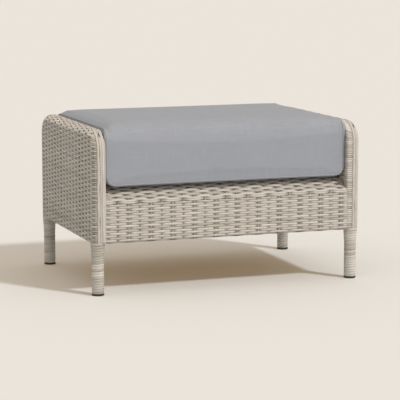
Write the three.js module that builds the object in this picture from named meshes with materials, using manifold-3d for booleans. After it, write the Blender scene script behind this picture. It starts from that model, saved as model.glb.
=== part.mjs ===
// Outdoor ottoman footstool: a woven resin ottoman with raised side panels and a loose seat cushion.
// Millimetres, +Z up. The origin is on the ground under the middle of the ottoman.
// +X runs along its longest side, to the right of someone who stands in front of it, and -Y is the front.
import * as THREE from 'three';
import { mergeVertices } from 'three/addons/utils/BufferGeometryUtils.js';
import Module from 'manifold-3d';

const wasm = await Module();
wasm.setup();

// Overall places: the legs stand on a rectangle, and the woven body hangs between two heights.
const legSpacingX = 750;
const legSpacingY = 500;
const panelTop = 450;
const bodyBottom = 141.5;
const seatHeight = 291.7;
const ledgeDrop = 29.7;

// Metal tube
const postRadius = 14;
const postWall = 1.5;
const hoopBend = 38;
const railSize = 20;
const railWall = 1.5;
const deckRailRadius = 10;
const deckRailWall = 1.2;
const slatRadius = 8;
const slatWall = 1.2;
const slatCount = 3;

// Woven skins
const weaveThickness = 6.1;
const panelRimRound = 18.4;
const panelSoleRound = 12;
const panelFootRound = 13;
const cavityRoundShare = 0.75;
const apronRound = 7;
const ledgeDepth = 69.4;
const ledgeRound = 20;
const deckLap = 13;
const hookHeight = 22;
const innerFold = 0.9;

// Leg windings, of one flat strand
const windThickness = 1.96;
const windTurns = 20;
const windGap = 0.6;
const windFlare = 2.6;
const windFlareHeight = 48;

// Foot caps
const footHeight = 5;
const footChamfer = 1;
const shankLength = 22;
const shankTaper = 2;
const shankClearance = 0.35;

// Cushion
const cushionGapX = 2.1;
const cushionSetBack = 20.4;
const cushionHeight = 166;
const cushionCrown = 9;
const cushionCorner = 20;
const cushionCornerLeast = 4;
const cushionTopRound = 38;
const cushionBottomRound = 15;
const endRoundShare = 0.5;
const cushionDrawIn = 3;
const backDrawShare = 0.5;
const coverWall = 1.5;
const coreClearance = 0.5;
const crownRingShares = [0.84, 0.6, 0.3];

// Zip in the back of the cushion
const zipMargin = 52.5;
const zipRise = 80;
const zipTapeHeight = 7.4;
const zipTapeThickness = 1.5;
const zipTeethHeight = 5;
const zipTeethThickness = 1.5;
const zipEnd = 6;
const sliderLength = 11;
const sliderWall = 1.7;
const bailLength = 5.2;
const bailWidth = 2;
const bailWall = 1.2;
const bailWindow = 2.4;
const bailRise = 1.9;
const pullWire = 1.2;
const pullArmLength = 5;
const pullTabLength = 23;
const pullTabHeight = 8;

// Gap between pieces that touch, how far a cutter runs past what it cuts, and how far joined blocks lap
const fit = 0.3;
const overrun = 2;
const joinLap = 0.2;

// Facets
const postSides = 16;
const slatSides = 12;
const bendSteps = 5;
const cornerSteps = 3;
const windSteps = 10;
const topRoundSteps = 4;
const bottomRoundSteps = 3;
const planCornerSteps = 3;
const planLongSteps = 6;
const planShortSteps = 4;

const fullTurn = 2 * Math.PI;
const quarterTurn = fullTurn / 4;

// Places worked out from the sizes above
const postX = legSpacingX / 2;
const postY = legSpacingY / 2;
const cavityHalf = postRadius + fit;
const panelHalf = cavityHalf + weaveThickness;
const panelInnerX = postX - panelHalf;
const hoopTop = panelTop - panelHalf;
const railShift = postRadius - railSize / 2;
const railX = postX + railShift;
const railY = postY + railShift;
const lowerRailZ = bodyBottom + weaveThickness + fit + railSize / 2;
const apronFace = postY + panelHalf;
const apronTop = seatHeight - ledgeDrop;
const ledgeInner = apronFace - ledgeDepth;
const ledgeSlope = Math.atan2(ledgeDrop, ledgeDepth);
const slopeRise = (weaveThickness + fit) * Math.tan(ledgeSlope);
const slopeDrop = (weaveThickness + 2 * fit) / Math.cos(ledgeSlope);
const seatRailZ = apronTop + slopeRise - slopeDrop - railSize / 2;
const deckUnderside = seatHeight - weaveThickness - fit;
const deckRailZ = deckUnderside - deckRailRadius;
const deckEdge = ledgeInner - deckLap;
const deckRailY = deckEdge;
const slatZ = deckUnderside - slatRadius;
const postBottom = footHeight + fit;
const windInner = cavityHalf / Math.cos(Math.PI / windSteps);
const legRadius = windInner + windThickness;
const shankRadius = postRadius - postWall - shankClearance;
const cushionHalfX = panelInnerX - cushionGapX;
const cushionHalfY = apronFace - cushionSetBack;
const cushionBottom = seatHeight + fit;
const zipLength = 2 * (cushionHalfX - zipMargin);
const zipZ = cushionBottom + zipRise;
const zipTapeY = cushionHalfY - fit;
const zipTeethFace = zipTapeY + zipTeethThickness;
const sliderBase = zipTeethFace + fit;
const sliderTop = sliderBase + sliderWall;

// Materials
const powderCoat = { color: 0x6f665b, roughness: 0.55, metalness: 0.6 };
const resinStrand = { color: 0xb3a797, roughness: 0.6, metalness: 0 };
const blackPlastic = { color: 0x1c1c1d, roughness: 0.55, metalness: 0 };
const greyCanvas = { color: 0xa2a2a5, roughness: 0.92, metalness: 0 };
const foam = { color: 0xe8e2cf, roughness: 0.95, metalness: 0 };
const zipTape = { color: 0x8f8f92, roughness: 0.8, metalness: 0 };
const zipMetal = { color: 0x7c7c7e, roughness: 0.4, metalness: 0.9 };

const ottoman = new THREE.Group();

// Adds one named piece to the ottoman.
function addPiece(name, geometry, finish, place = [0, 0, 0], turn = 0) {
  const mesh = new THREE.Mesh(geometry, new THREE.MeshStandardMaterial(finish));
  mesh.name = name;
  mesh.position.set(...place);
  mesh.rotation.z = turn;
  ottoman.add(mesh);
}

// Turns a closed three.js geometry into a solid that can be joined and cut.
function solidOf(geometry) {
  const bare = geometry.clone();
  bare.deleteAttribute('normal');
  bare.deleteAttribute('uv');
  const merged = mergeVertices(bare);
  const vertProperties = new Float32Array(merged.attributes.position.array);
  const triVerts = new Uint32Array(merged.index.array);
  return new wasm.Manifold(new wasm.Mesh({ numProp: 3, vertProperties, triVerts }));
}

// Turns a solid back into a geometry.
function geometryOf(solid) {
  const mesh = solid.getMesh();
  const geometry = new THREE.BufferGeometry();
  geometry.setAttribute('position', new THREE.BufferAttribute(mesh.vertProperties, 3));
  geometry.setIndex(new THREE.BufferAttribute(mesh.triVerts, 1));
  geometry.computeVertexNormals();
  return geometry;
}

// Cuts a list of geometries out of one.
function cut(geometry, cutters) {
  const cutSolid = cutters.reduce((solid, cutter) => solid.subtract(solidOf(cutter)), solidOf(geometry));
  return geometryOf(cutSolid);
}

// Keeps only what two geometries share.
function overlap(first, second) {
  return geometryOf(solidOf(first).intersect(solidOf(second)));
}

// Joins geometries that overlap into one.
function join(geometries) {
  const [first, ...others] = geometries.map(solidOf);
  return geometryOf(others.reduce((solid, other) => solid.add(other), first));
}

// A box between two corners.
function boxBetween(low, high) {
  const size = high.map((value, axis) => value - low[axis]);
  const middle = high.map((value, axis) => (value + low[axis]) / 2);
  return new THREE.BoxGeometry(...size).translate(...middle);
}

// Turns a shape that was extruded along Z so that it runs along X, with the shape's axes along Y and Z.
function alongX(geometry) {
  const basis = new THREE.Matrix4().makeBasis(
    new THREE.Vector3(0, 1, 0),
    new THREE.Vector3(0, 0, 1),
    new THREE.Vector3(1, 0, 0),
  );
  return geometry.applyMatrix4(basis);
}

// Turns a shape that was extruded along Z so that it runs along Y, with the shape's axes along Z and X.
function alongY(geometry) {
  const basis = new THREE.Matrix4().makeBasis(
    new THREE.Vector3(0, 0, 1),
    new THREE.Vector3(1, 0, 0),
    new THREE.Vector3(0, 1, 0),
  );
  return geometry.applyMatrix4(basis);
}

// The corners of a regular polygon that stands for a circle.
function circlePoints(radius, sides) {
  return Array.from({ length: sides }, (unused, index) => {
    const angle = (index / sides) * fullTurn;
    return new THREE.Vector2(radius * Math.cos(angle), radius * Math.sin(angle));
  });
}

// The corners of a square.
function squarePoints(size) {
  const half = size / 2;
  return [[-half, -half], [half, -half], [half, half], [-half, half]].map(
    ([x, y]) => new THREE.Vector2(x, y),
  );
}

// The section of a hollow tube.
function tubeSection(outerPoints, innerPoints) {
  const section = new THREE.Shape(outerPoints);
  section.holes.push(new THREE.Path(innerPoints));
  return section;
}

// A straight length of any section, centred on the origin along Z.
function straightBar(section, length) {
  const bar = new THREE.ExtrudeGeometry(section, { depth: length, bevelEnabled: false });
  return bar.translate(0, 0, -length / 2);
}

// A solid rod along Z, used to cut round holes.
function rod(radius, sides, length) {
  return straightBar(new THREE.Shape(circlePoints(radius, sides)), length);
}

// A route that passes through given points, with a tube's section square to it at each one.
class PointRoute extends THREE.Curve {
  constructor(points) {
    super();
    this.points = points;
    this.last = points.length - 1;
  }

  getPointAt(share, target = new THREE.Vector3()) {
    return target.copy(this.points[Math.round(share * this.last)]);
  }

  getTangentAt(share, target = new THREE.Vector3()) {
    const index = Math.round(share * this.last);
    const before = this.points[Math.max(index - 1, 0)];
    const after = this.points[Math.min(index + 1, this.last)];
    return target.copy(after).sub(before).normalize();
  }
}

// A strand's route round a leg, with the strand lying flat on it.
class WindingRoute extends THREE.Curve {
  constructor(radius, bottom, rise, turns) {
    super();
    this.radius = radius;
    this.bottom = bottom;
    this.rise = rise;
    this.turns = turns;
  }

  flareAt(share) {
    const below = (1 - share) * this.rise;
    const reach = Math.max(0, 1 - below / windFlareHeight);
    return windFlare * reach * reach;
  }

  getPointAt(share, target = new THREE.Vector3()) {
    const angle = share * this.turns * fullTurn;
    const radius = this.radius + this.flareAt(share);
    const x = radius * Math.cos(angle);
    const y = radius * Math.sin(angle);
    return target.set(x, y, this.bottom + share * this.rise);
  }

  getTangentAt(share, target = new THREE.Vector3()) {
    const angle = share * this.turns * fullTurn;
    const around = this.radius * this.turns * fullTurn;
    return target.set(-around * Math.sin(angle), around * Math.cos(angle), this.rise).normalize();
  }

  computeFrenetFrames(segments) {
    const shares = Array.from({ length: segments + 1 }, (unused, index) => index / segments);
    const tangents = shares.map((share) => this.getTangentAt(share));
    const normals = shares.map((share) => {
      const angle = share * this.turns * fullTurn;
      return new THREE.Vector3(Math.cos(angle), Math.sin(angle), 0);
    });
    const binormals = tangents.map((tangent, index) => tangent.clone().cross(normals[index]));
    return { tangents, normals, binormals };
  }
}

// A flat outline's path round its corners, each rounded by its own radius.
function roundedPath(corners, radii, steps) {
  return corners.flatMap((corner, index) => {
    const radius = radii[index];
    if (!radius) {
      return [corner];
    }
    const toBefore = corners[index - 1].clone().sub(corner).normalize();
    const toAfter = corners[index + 1].clone().sub(corner).normalize();
    const halfAngle = Math.acos(toBefore.dot(toAfter)) / 2;
    const reach = radius / Math.tan(halfAngle);
    const start = corner.clone().addScaledVector(toBefore, reach);
    const end = corner.clone().addScaledVector(toAfter, reach);
    return new THREE.QuadraticBezierCurve(start, corner, end).getPoints(steps);
  });
}

// The same corners moved to the right-hand side of the path by a sheet's thickness.
function movedCorners(corners, thickness) {
  return corners.map((corner, index) => {
    const before = corners[Math.max(index - 1, 0)];
    const after = corners[Math.min(index + 1, corners.length - 1)];
    const into = index ? corner.clone().sub(before).normalize() : after.clone().sub(corner).normalize();
    const out = corner === after ? into : after.clone().sub(corner).normalize();
    const intoSide = new THREE.Vector2(into.y, -into.x);
    const outSide = new THREE.Vector2(out.y, -out.x);
    const scale = thickness / (1 + intoSide.dot(outSide));
    return corner.clone().add(intoSide.add(outSide).multiplyScalar(scale));
  });
}

// The section of a sheet of one thickness that is folded round rounded corners.
function foldedSection(corners, radii, thickness) {
  const innerRadii = radii.map((radius) => radius && Math.max(radius - thickness, innerFold));
  const outside = roundedPath(corners, radii, cornerSteps);
  const inside = roundedPath(movedCorners(corners, thickness), innerRadii, cornerSteps);
  return new THREE.Shape([...outside, ...inside.reverse()]);
}

// Bent hoop: front leg, top rail and rear leg in one tube.
function hoopGeometry() {
  const points = [new THREE.Vector3(0, -postY, postBottom)];
  for (const side of [-1, 1]) {
    for (let step = 0; step <= bendSteps; step += 1) {
      const turned = side < 0 ? step / bendSteps : 1 - step / bendSteps;
      const angle = turned * quarterTurn;
      const y = side * (postY - hoopBend + hoopBend * Math.cos(angle));
      points.push(new THREE.Vector3(0, y, hoopTop - hoopBend + hoopBend * Math.sin(angle)));
    }
  }
  points.push(new THREE.Vector3(0, postY, postBottom));
  const section = tubeSection(
    circlePoints(postRadius, postSides),
    circlePoints(postRadius - postWall, postSides),
  );
  const route = new PointRoute(points);
  return new THREE.ExtrudeGeometry(section, {
    steps: points.length - 1,
    bevelEnabled: false,
    extrudePath: route,
  });
}

// Square rail between two posts, notched round both of them.
function railGeometry(turnRail, span, shift) {
  const section = tubeSection(squarePoints(railSize), squarePoints(railSize - 2 * railWall));
  const rail = turnRail(straightBar(section, span - postRadius));
  const notches = [-1, 1].map((end) => {
    const notch = rod(cavityHalf, postSides, railSize + 2 * overrun);
    return turnRail === alongX
      ? notch.translate(end * span / 2, -shift, 0)
      : notch.translate(-shift, end * span / 2, 0);
  });
  return cut(rail, notches);
}

// Round rail under the edge of the deck, between the two side seat rails.
function deckRailGeometry() {
  const section = tubeSection(
    circlePoints(deckRailRadius, slatSides),
    circlePoints(deckRailRadius - deckRailWall, slatSides),
  );
  return alongX(straightBar(section, 2 * (railX - railSize / 2 - fit)));
}

// Round slat under the deck, notched round both deck rails.
function slatGeometry() {
  const section = tubeSection(
    circlePoints(slatRadius, slatSides),
    circlePoints(slatRadius - slatWall, slatSides),
  );
  const slat = alongY(straightBar(section, 2 * deckRailY - deckRailRadius));
  const notches = [-1, 1].map((end) => {
    const notch = alongX(rod(deckRailRadius + fit, slatSides, 2 * (slatRadius + overrun)));
    return notch.translate(0, end * deckRailY, deckRailZ - slatZ);
  });
  return cut(slat, notches);
}

// Outline of a side panel, seen from the side: half is how far it reaches out from the tube's centre.
function panelOutline(half, low, footRound) {
  const y = postY + half;
  const high = hoopTop + half;
  const topRound = hoopBend + half;
  const outline = new THREE.Shape();
  outline.moveTo(y - footRound, low);
  outline.absarc(y - footRound, low + footRound, footRound, -quarterTurn, 0);
  outline.absarc(y - topRound, high - topRound, topRound, 0, quarterTurn);
  outline.absarc(topRound - y, high - topRound, topRound, quarterTurn, 2 * quarterTurn);
  outline.absarc(footRound - y, low + footRound, footRound, 2 * quarterTurn, 3 * quarterTurn);
  return outline;
}

// Plate with a panel's outline and with rounded edges.
function roundedPlate(outline, half, round) {
  const plate = new THREE.ExtrudeGeometry(outline, {
    depth: 2 * (half - round),
    curveSegments: 2 * cornerSteps,
    bevelThickness: round,
    bevelSize: round,
    bevelOffset: -round,
    bevelSegments: cornerSteps,
  });
  return alongX(plate.translate(0, 0, round - half));
}

// Plate with rounded front, top and rear edges that runs on past a side panel's underside.
function panelRim(half, round) {
  const low = bodyBottom - 3 * panelHalf;
  return roundedPlate(panelOutline(half, low, half), half, round);
}

// Outside of a side panel with its rounded rim and underside, made larger all round by a margin.
function panelForm(margin) {
  const half = panelHalf + margin;
  const outline = panelOutline(half, bodyBottom - margin, panelFootRound + margin);
  const body = roundedPlate(outline, half, panelSoleRound + margin);
  return overlap(panelRim(half, panelRimRound + margin), body);
}

// Woven skin round a hoop, hollow, with holes for the posts and for the rails on its inner side.
// It is modelled for the left panel, whose inner side faces +X.
function panelWeaveGeometry() {
  const cavityFloor = bodyBottom + weaveThickness;
  const cavity = alongX(straightBar(panelOutline(cavityHalf, cavityFloor, 0), 2 * cavityHalf));
  const cutters = [overlap(panelRim(cavityHalf, cavityRoundShare * cavityHalf), cavity)];
  for (const side of [-1, 1]) {
    const postHole = rod(cavityHalf, postSides, weaveThickness + 2 * overrun);
    cutters.push(postHole.translate(0, side * postY, bodyBottom + weaveThickness / 2));
    for (const z of [lowerRailZ, seatRailZ]) {
      const half = railSize / 2 + fit;
      const low = [0, side * railY - half, z - half];
      const high = [panelHalf + overrun, side * railY + half, z + half];
      cutters.push(boxBetween(low, high));
    }
    const deckRailHole = alongX(rod(deckRailRadius + fit, slatSides, panelHalf + overrun));
    cutters.push(deckRailHole.translate((panelHalf + overrun) / 2, side * deckRailY, deckRailZ));
  }
  return cut(panelForm(0), cutters);
}

// Woven skin of an apron: from the deck down the sloping ledge, down the face and round the lower rail.
// It is modelled for the rear, whose outside faces +Y.
function apronWeaveGeometry() {
  const hookFace = railY - railSize / 2 - fit - weaveThickness;
  const corners = [
    new THREE.Vector2(deckEdge + fit, seatHeight),
    new THREE.Vector2(ledgeInner, seatHeight),
    new THREE.Vector2(apronFace, apronTop),
    new THREE.Vector2(apronFace, bodyBottom),
    new THREE.Vector2(hookFace, bodyBottom),
    new THREE.Vector2(hookFace, bodyBottom + hookHeight),
  ];
  const radii = [0, ledgeRound, apronRound, apronRound, apronRound, 0];
  const section = foldedSection(corners, radii, weaveThickness);
  const skin = alongX(straightBar(section, 2 * (postX - cavityHalf)));
  return cut(skin, [-1, 1].map((side) => panelForm(fit).translate(side * postX, 0, 0)));
}

// Woven seat deck between the two ledges.
function deckWeaveGeometry() {
  const reachX = panelInnerX - fit;
  const low = [-reachX, -deckEdge, seatHeight - weaveThickness];
  return boxBetween(low, [reachX, deckEdge, seatHeight]);
}

// Flat strand wound round a leg, from the foot cap up to the woven body.
function windingRoute() {
  const bottom = postBottom;
  const top = bodyBottom - fit;
  const pitch = (top - bottom + windGap) / (windTurns + 1);
  const width = pitch - windGap;
  const radius = windInner + windThickness / 2;
  return { width, route: new WindingRoute(radius, bottom + width / 2, windTurns * pitch, windTurns) };
}

function windingGeometry() {
  const { width, route } = windingRoute();
  const halfThick = windThickness / 2;
  const halfWide = width / 2;
  const section = new THREE.Shape([
    new THREE.Vector2(-halfThick, -halfWide),
    new THREE.Vector2(halfThick, -halfWide),
    new THREE.Vector2(halfThick, halfWide),
    new THREE.Vector2(-halfThick, halfWide),
  ]);
  const steps = windTurns * windSteps;
  return new THREE.ExtrudeGeometry(section, { steps, bevelEnabled: false, extrudePath: route });
}

// Least distance between a winding's turns, from points along both edges of the strand.
function windingGap() {
  const { width, route } = windingRoute();
  const steps = windTurns * windSteps;
  const frames = route.computeFrenetFrames(steps);
  const edges = [-1, 1].map((side) => frames.binormals.map((across, index) => {
    return route.getPointAt(index / steps).addScaledVector(across, side * width / 2);
  }));
  let least = Infinity;
  edges[0].forEach((low, lowIndex) => edges[1].forEach((high, highIndex) => {
    if (Math.abs(lowIndex - highIndex) >= windSteps / 2) {
      least = Math.min(least, low.distanceTo(high));
    }
  }));
  return least;
}

// Black foot cap: a disc under the leg, with a shank pressed up into the tube.
function footCapGeometry() {
  const shankTop = footHeight + shankLength;
  const profile = [
    [0, 0],
    [legRadius - footChamfer, 0],
    [legRadius, footChamfer],
    [legRadius, footHeight],
    [shankRadius, footHeight],
    [shankRadius, shankTop - shankTaper],
    [shankRadius - shankTaper, shankTop],
    [0, shankTop],
  ].map(([radius, height]) => new THREE.Vector2(radius, height));
  return new THREE.LatheGeometry(profile, postSides).rotateX(quarterTurn);
}

// One ring round the cushion, side by side and corner by corner, drawn in between its corners.
function cushionRing(halfX, halfY, corner) {
  const sides = [
    { along: halfY - corner, out: halfX, steps: planShortSteps, draw: cushionDrawIn },
    { along: halfX - corner, out: halfY, steps: planLongSteps, draw: cushionDrawIn * backDrawShare },
    { along: halfY - corner, out: halfX, steps: planShortSteps, draw: cushionDrawIn },
    { along: halfX - corner, out: halfY, steps: planLongSteps, draw: cushionDrawIn },
  ];
  return sides.flatMap(({ along, out, steps, draw }, index) => {
    const points = [];
    for (let step = 0; step <= steps; step += 1) {
      const share = 2 * step / steps - 1;
      const inward = draw * (1 - share * share);
      points.push(new THREE.Vector2(out - inward, share * along));
    }
    for (let step = 1; step < planCornerSteps; step += 1) {
      const angle = step / planCornerSteps * quarterTurn;
      const x = out - corner + corner * Math.cos(angle);
      points.push(new THREE.Vector2(x, along + corner * Math.sin(angle)));
    }
    return points.map((point) => point.rotateAround(new THREE.Vector2(), index * quarterTurn));
  });
}

// Crowned cushion form with drawn-in sides. A positive inset gives the same form smaller all round.
function cushionForm(inset) {
  const halfX = cushionHalfX - inset;
  const halfY = cushionHalfY - inset;
  const low = cushionBottom + inset;
  const high = cushionBottom + cushionHeight - inset;
  const topRound = cushionTopRound - inset;
  const bottomRound = cushionBottomRound - inset;
  const rings = [];
  const addRing = (drawnX, drawnY, z) => {
    const corner = Math.max(cushionCorner - inset - drawnX, cushionCornerLeast);
    rings.push(cushionRing(halfX - drawnX, halfY - drawnY, corner).map(({ x, y }) => [x, y, z]));
  };
  for (let step = 0; step <= bottomRoundSteps; step += 1) {
    const angle = step / bottomRoundSteps * quarterTurn;
    const drawn = bottomRound * (1 - Math.sin(angle));
    addRing(drawn, drawn, low + bottomRound * (1 - Math.cos(angle)));
  }
  for (let step = 0; step <= topRoundSteps; step += 1) {
    const angle = step / topRoundSteps * quarterTurn;
    const drawn = topRound * (1 - Math.cos(angle));
    addRing(drawn * endRoundShare, drawn, high - topRound + topRound * Math.sin(angle));
  }
  const edge = rings[rings.length - 1];
  for (const share of crownRingShares) {
    rings.push(edge.map(([x, y]) => {
      const acrossX = share * x / (halfX - topRound * endRoundShare);
      const acrossY = share * y / (halfY - topRound);
      const rise = cushionCrown * (1 - acrossX * acrossX) * (1 - acrossY * acrossY);
      return [share * x, share * y, high + Math.max(rise, 0)];
    }));
  }
  return closedRings(rings, [0, 0, low], [0, 0, high + cushionCrown]);
}

// A closed geometry from rings of points, stacked from a bottom point to a top point.
function closedRings(rings, bottomPoint, topPoint) {
  const count = rings[0].length;
  const positions = [bottomPoint, ...rings.flat(), topPoint].flat();
  const topIndex = positions.length / bottomPoint.length - 1;
  const faces = [];
  for (let index = 0; index < count; index += 1) {
    const next = (index + 1) % count;
    faces.push(0, 1 + next, 1 + index);
    for (let ring = 0; ring < rings.length - 1; ring += 1) {
      const here = 1 + ring * count;
      const above = here + count;
      faces.push(here + index, here + next, above + next);
      faces.push(here + index, above + next, above + index);
    }
    faces.push(topIndex, topIndex - count + index, topIndex - count + next);
  }
  const geometry = new THREE.BufferGeometry();
  geometry.setAttribute('position', new THREE.Float32BufferAttribute(positions, bottomPoint.length));
  geometry.setIndex(faces);
  geometry.computeVertexNormals();
  return geometry;
}

// Canvas cover, hollow, with the slot in its back that holds the zip.
function cushionCoverGeometry() {
  const slotHalfX = zipLength / 2 + fit;
  const slotHalfZ = zipTapeHeight / 2 + fit;
  const slotFront = cushionHalfY - cushionDrawIn - coverWall - overrun;
  const slot = boxBetween(
    [-slotHalfX, slotFront, zipZ - slotHalfZ],
    [slotHalfX, cushionHalfY + overrun, zipZ + slotHalfZ],
  );
  return cut(cushionForm(0), [cushionForm(coverWall), slot]);
}

// Zip tape with its closed teeth, in the cover's slot.
function zipGeometry() {
  const tape = boxBetween(
    [-zipLength / 2, zipTapeY - zipTapeThickness, zipZ - zipTapeHeight / 2],
    [zipLength / 2, zipTapeY, zipZ + zipTapeHeight / 2],
  );
  const teethHalf = zipLength / 2 - zipEnd;
  const teeth = boxBetween(
    [-teethHalf, zipTapeY - joinLap, zipZ - zipTeethHeight / 2],
    [teethHalf, zipTeethFace, zipZ + zipTeethHeight / 2],
  );
  return join([tape, teeth]);
}

// Zip slider: a plate over the teeth, with a rim on each side of them and a bail for the pull.
function sliderGeometry() {
  const halfX = sliderLength / 2;
  const rimInner = zipTeethHeight / 2 + fit;
  const rimOuter = rimInner + sliderWall;
  const plate = boxBetween([-halfX, sliderBase, -rimOuter], [halfX, sliderTop, rimOuter]);
  const rims = [-1, 1].map((side) => {
    const edges = [side * rimInner, side * rimOuter].sort((one, other) => one - other);
    const low = [-halfX, cushionHalfY + 2 * fit, edges[0]];
    return boxBetween(low, [halfX, sliderBase + joinLap, edges[1]]);
  });
  const bail = boxBetween(
    [-bailLength / 2, sliderTop - joinLap, -bailWidth / 2],
    [bailLength / 2, sliderTop + bailRise + bailWall, bailWidth / 2],
  );
  const window = boxBetween(
    [-bailWindow / 2, sliderTop, -bailWidth / 2 - overrun],
    [bailWindow / 2, sliderTop + bailRise, bailWidth / 2 + overrun],
  );
  return cut(join([plate, ...rims, bail]), [window]);
}

// Zip pull: a bar through the bail's window, two arms and a flat tab, about the bar's centre.
function pullGeometry() {
  const half = pullWire / 2;
  const armInner = bailWidth / 2 + fit;
  const armOuter = armInner + pullWire;
  const bar = boxBetween([-half, -half, -armOuter], [half, half, armOuter]);
  const arms = [-1, 1].map((side) => {
    const edges = [side * armInner, side * armOuter].sort((one, other) => one - other);
    return boxBetween([-pullArmLength - joinLap, -half, edges[0]], [half, half, edges[1]]);
  });
  const tab = boxBetween(
    [-pullArmLength - pullTabLength, -half, -pullTabHeight / 2],
    [-pullArmLength, half, pullTabHeight / 2],
  );
  return join([bar, ...arms, tab]);
}

function addFrame() {
  for (const [sideName, side] of [['left', -1], ['right', 1]]) {
    const shift = side * railShift;
    addPiece(`${sideName}_hoop`, hoopGeometry(), powderCoat, [side * postX, 0, 0]);
    const lowerRail = railGeometry(alongY, legSpacingY, shift);
    addPiece(`${sideName}_lower_rail`, lowerRail, powderCoat, [side * railX, 0, lowerRailZ]);
    const seatRail = railGeometry(alongY, legSpacingY, shift);
    addPiece(`${sideName}_seat_rail`, seatRail, powderCoat, [side * railX, 0, deckRailZ]);
  }
  for (const [sideName, side] of [['front', -1], ['rear', 1]]) {
    const shift = side * railShift;
    const lowerRail = railGeometry(alongX, legSpacingX, shift);
    addPiece(`${sideName}_lower_rail`, lowerRail, powderCoat, [0, side * railY, lowerRailZ]);
    const seatRail = railGeometry(alongX, legSpacingX, shift);
    addPiece(`${sideName}_seat_rail`, seatRail, powderCoat, [0, side * railY, seatRailZ]);
    addPiece(`${sideName}_deck_rail`, deckRailGeometry(), powderCoat, [0, side * deckRailY, deckRailZ]);
  }
  const slatSpacing = 2 * panelInnerX / (slatCount + 1);
  for (let index = 0; index < slatCount; index += 1) {
    const x = (index + 1) * slatSpacing - panelInnerX;
    addPiece(`deck_slat_${index + 1}`, slatGeometry(), powderCoat, [x, 0, slatZ]);
  }
}

function addWeave() {
  addPiece('left_panel_weave', panelWeaveGeometry(), resinStrand, [-postX, 0, 0]);
  addPiece('right_panel_weave', panelWeaveGeometry(), resinStrand, [postX, 0, 0], Math.PI);
  addPiece('rear_apron_weave', apronWeaveGeometry(), resinStrand);
  addPiece('front_apron_weave', apronWeaveGeometry(), resinStrand, [0, 0, 0], Math.PI);
  addPiece('deck_weave', deckWeaveGeometry(), resinStrand);
}

function addLegs() {
  for (const [rowName, row] of [['front', -1], ['rear', 1]]) {
    for (const [sideName, side] of [['left', -1], ['right', 1]]) {
      const place = [side * postX, row * postY, 0];
      addPiece(`${rowName}_${sideName}_leg_winding`, windingGeometry(), resinStrand, place);
      addPiece(`${rowName}_${sideName}_foot_cap`, footCapGeometry(), blackPlastic, place);
    }
  }
  console.log(`leg winding: least gap to itself ${windingGap().toFixed(2)} mm`);
}

function addCushion() {
  addPiece('cushion_cover', cushionCoverGeometry(), greyCanvas);
  addPiece('cushion_core', cushionForm(coverWall + coreClearance), foam);
  addPiece('cushion_zip', zipGeometry(), zipTape);
  const sliderX = sliderLength / 2 + zipEnd - zipLength / 2;
  addPiece('zip_slider', sliderGeometry(), zipMetal, [sliderX, 0, zipZ]);
  addPiece('zip_pull', pullGeometry(), zipMetal, [sliderX, sliderTop + bailRise / 2, zipZ]);
}

addFrame();
addWeave();
addLegs();
addCushion();

export default ottoman;
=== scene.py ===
"""Looks of an outdoor ottoman footstool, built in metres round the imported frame.

The woven body is made strand by strand: stakes run up and down, and rows of flat resin strand pass
over and under them. A padded cushion with its seams and zip lies between the two raised side panels.
"""
import logging
import math
from collections.abc import Sequence
from dataclasses import dataclass, field
from enum import Enum

import bmesh
import bpy
import numpy as np
from mathutils import Matrix, Vector
from mathutils.bvhtree import BVHTree


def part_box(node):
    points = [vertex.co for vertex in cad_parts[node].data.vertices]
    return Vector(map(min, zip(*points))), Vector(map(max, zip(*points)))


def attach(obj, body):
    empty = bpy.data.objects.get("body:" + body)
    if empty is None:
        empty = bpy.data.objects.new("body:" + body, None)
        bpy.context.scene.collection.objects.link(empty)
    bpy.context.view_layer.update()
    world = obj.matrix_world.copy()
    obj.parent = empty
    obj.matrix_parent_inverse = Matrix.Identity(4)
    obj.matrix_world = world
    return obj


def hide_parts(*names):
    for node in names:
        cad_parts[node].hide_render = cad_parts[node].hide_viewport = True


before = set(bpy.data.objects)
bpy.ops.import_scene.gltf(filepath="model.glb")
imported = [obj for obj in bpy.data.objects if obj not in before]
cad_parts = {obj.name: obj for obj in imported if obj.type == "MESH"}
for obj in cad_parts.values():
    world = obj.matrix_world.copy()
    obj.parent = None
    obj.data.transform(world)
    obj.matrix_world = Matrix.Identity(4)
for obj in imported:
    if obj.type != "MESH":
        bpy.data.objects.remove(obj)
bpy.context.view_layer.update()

LOG = logging.getLogger("ottoman")
STRAND_ATTRIBUTE = "strand"
# Painted shade for where strands lie deep in the weave, stored on the strand meshes.
PAINTED_SHADE_ATTRIBUTE = "painted_shade"
CLOTH_ATTRIBUTE = "cloth"
END_FACING = 0.75
TINY = 1e-9
Array = np.ndarray
Colour = tuple[float, float, float]
Mesh = bpy.types.Mesh
Node = bpy.types.Node
Object = bpy.types.Object
Rng = np.random.Generator
Socket = bpy.types.NodeSocket


class Named(Enum):
    """A choice whose name in small letters is a word in the names of nodes and pieces."""

    @property
    def word(self) -> str:
        """The choice's word in a name."""
        return self.name.lower()


class Side(Named):
    """The two ends of the ottoman, as seen from the front."""

    LEFT = -1
    RIGHT = 1


class Row(Named):
    """The front and the rear of the ottoman."""

    FRONT = -1
    REAR = 1


class Face(Named):
    """The two faces of a side panel: the one that shows outside, and the one beside the cushion."""

    OUTER = 1
    INNER = -1


def smooth_step(share: Array) -> Array:
    """Eases a share from 0 to 1, level at both ends.

    Args:
        share: Values, of which those below 0 and above 1 are cut off.

    Returns:
        The eased values.
    """
    held = np.clip(share, 0, 1)
    return held * held * (3 - 2 * held)


def dress(piece: Object, material: bpy.types.Material) -> None:
    """Gives a piece one material in place of those it has.

    Args:
        piece: The piece.
        material: Its new material.
    """
    piece.data.materials.clear()
    piece.data.materials.append(material)


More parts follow.
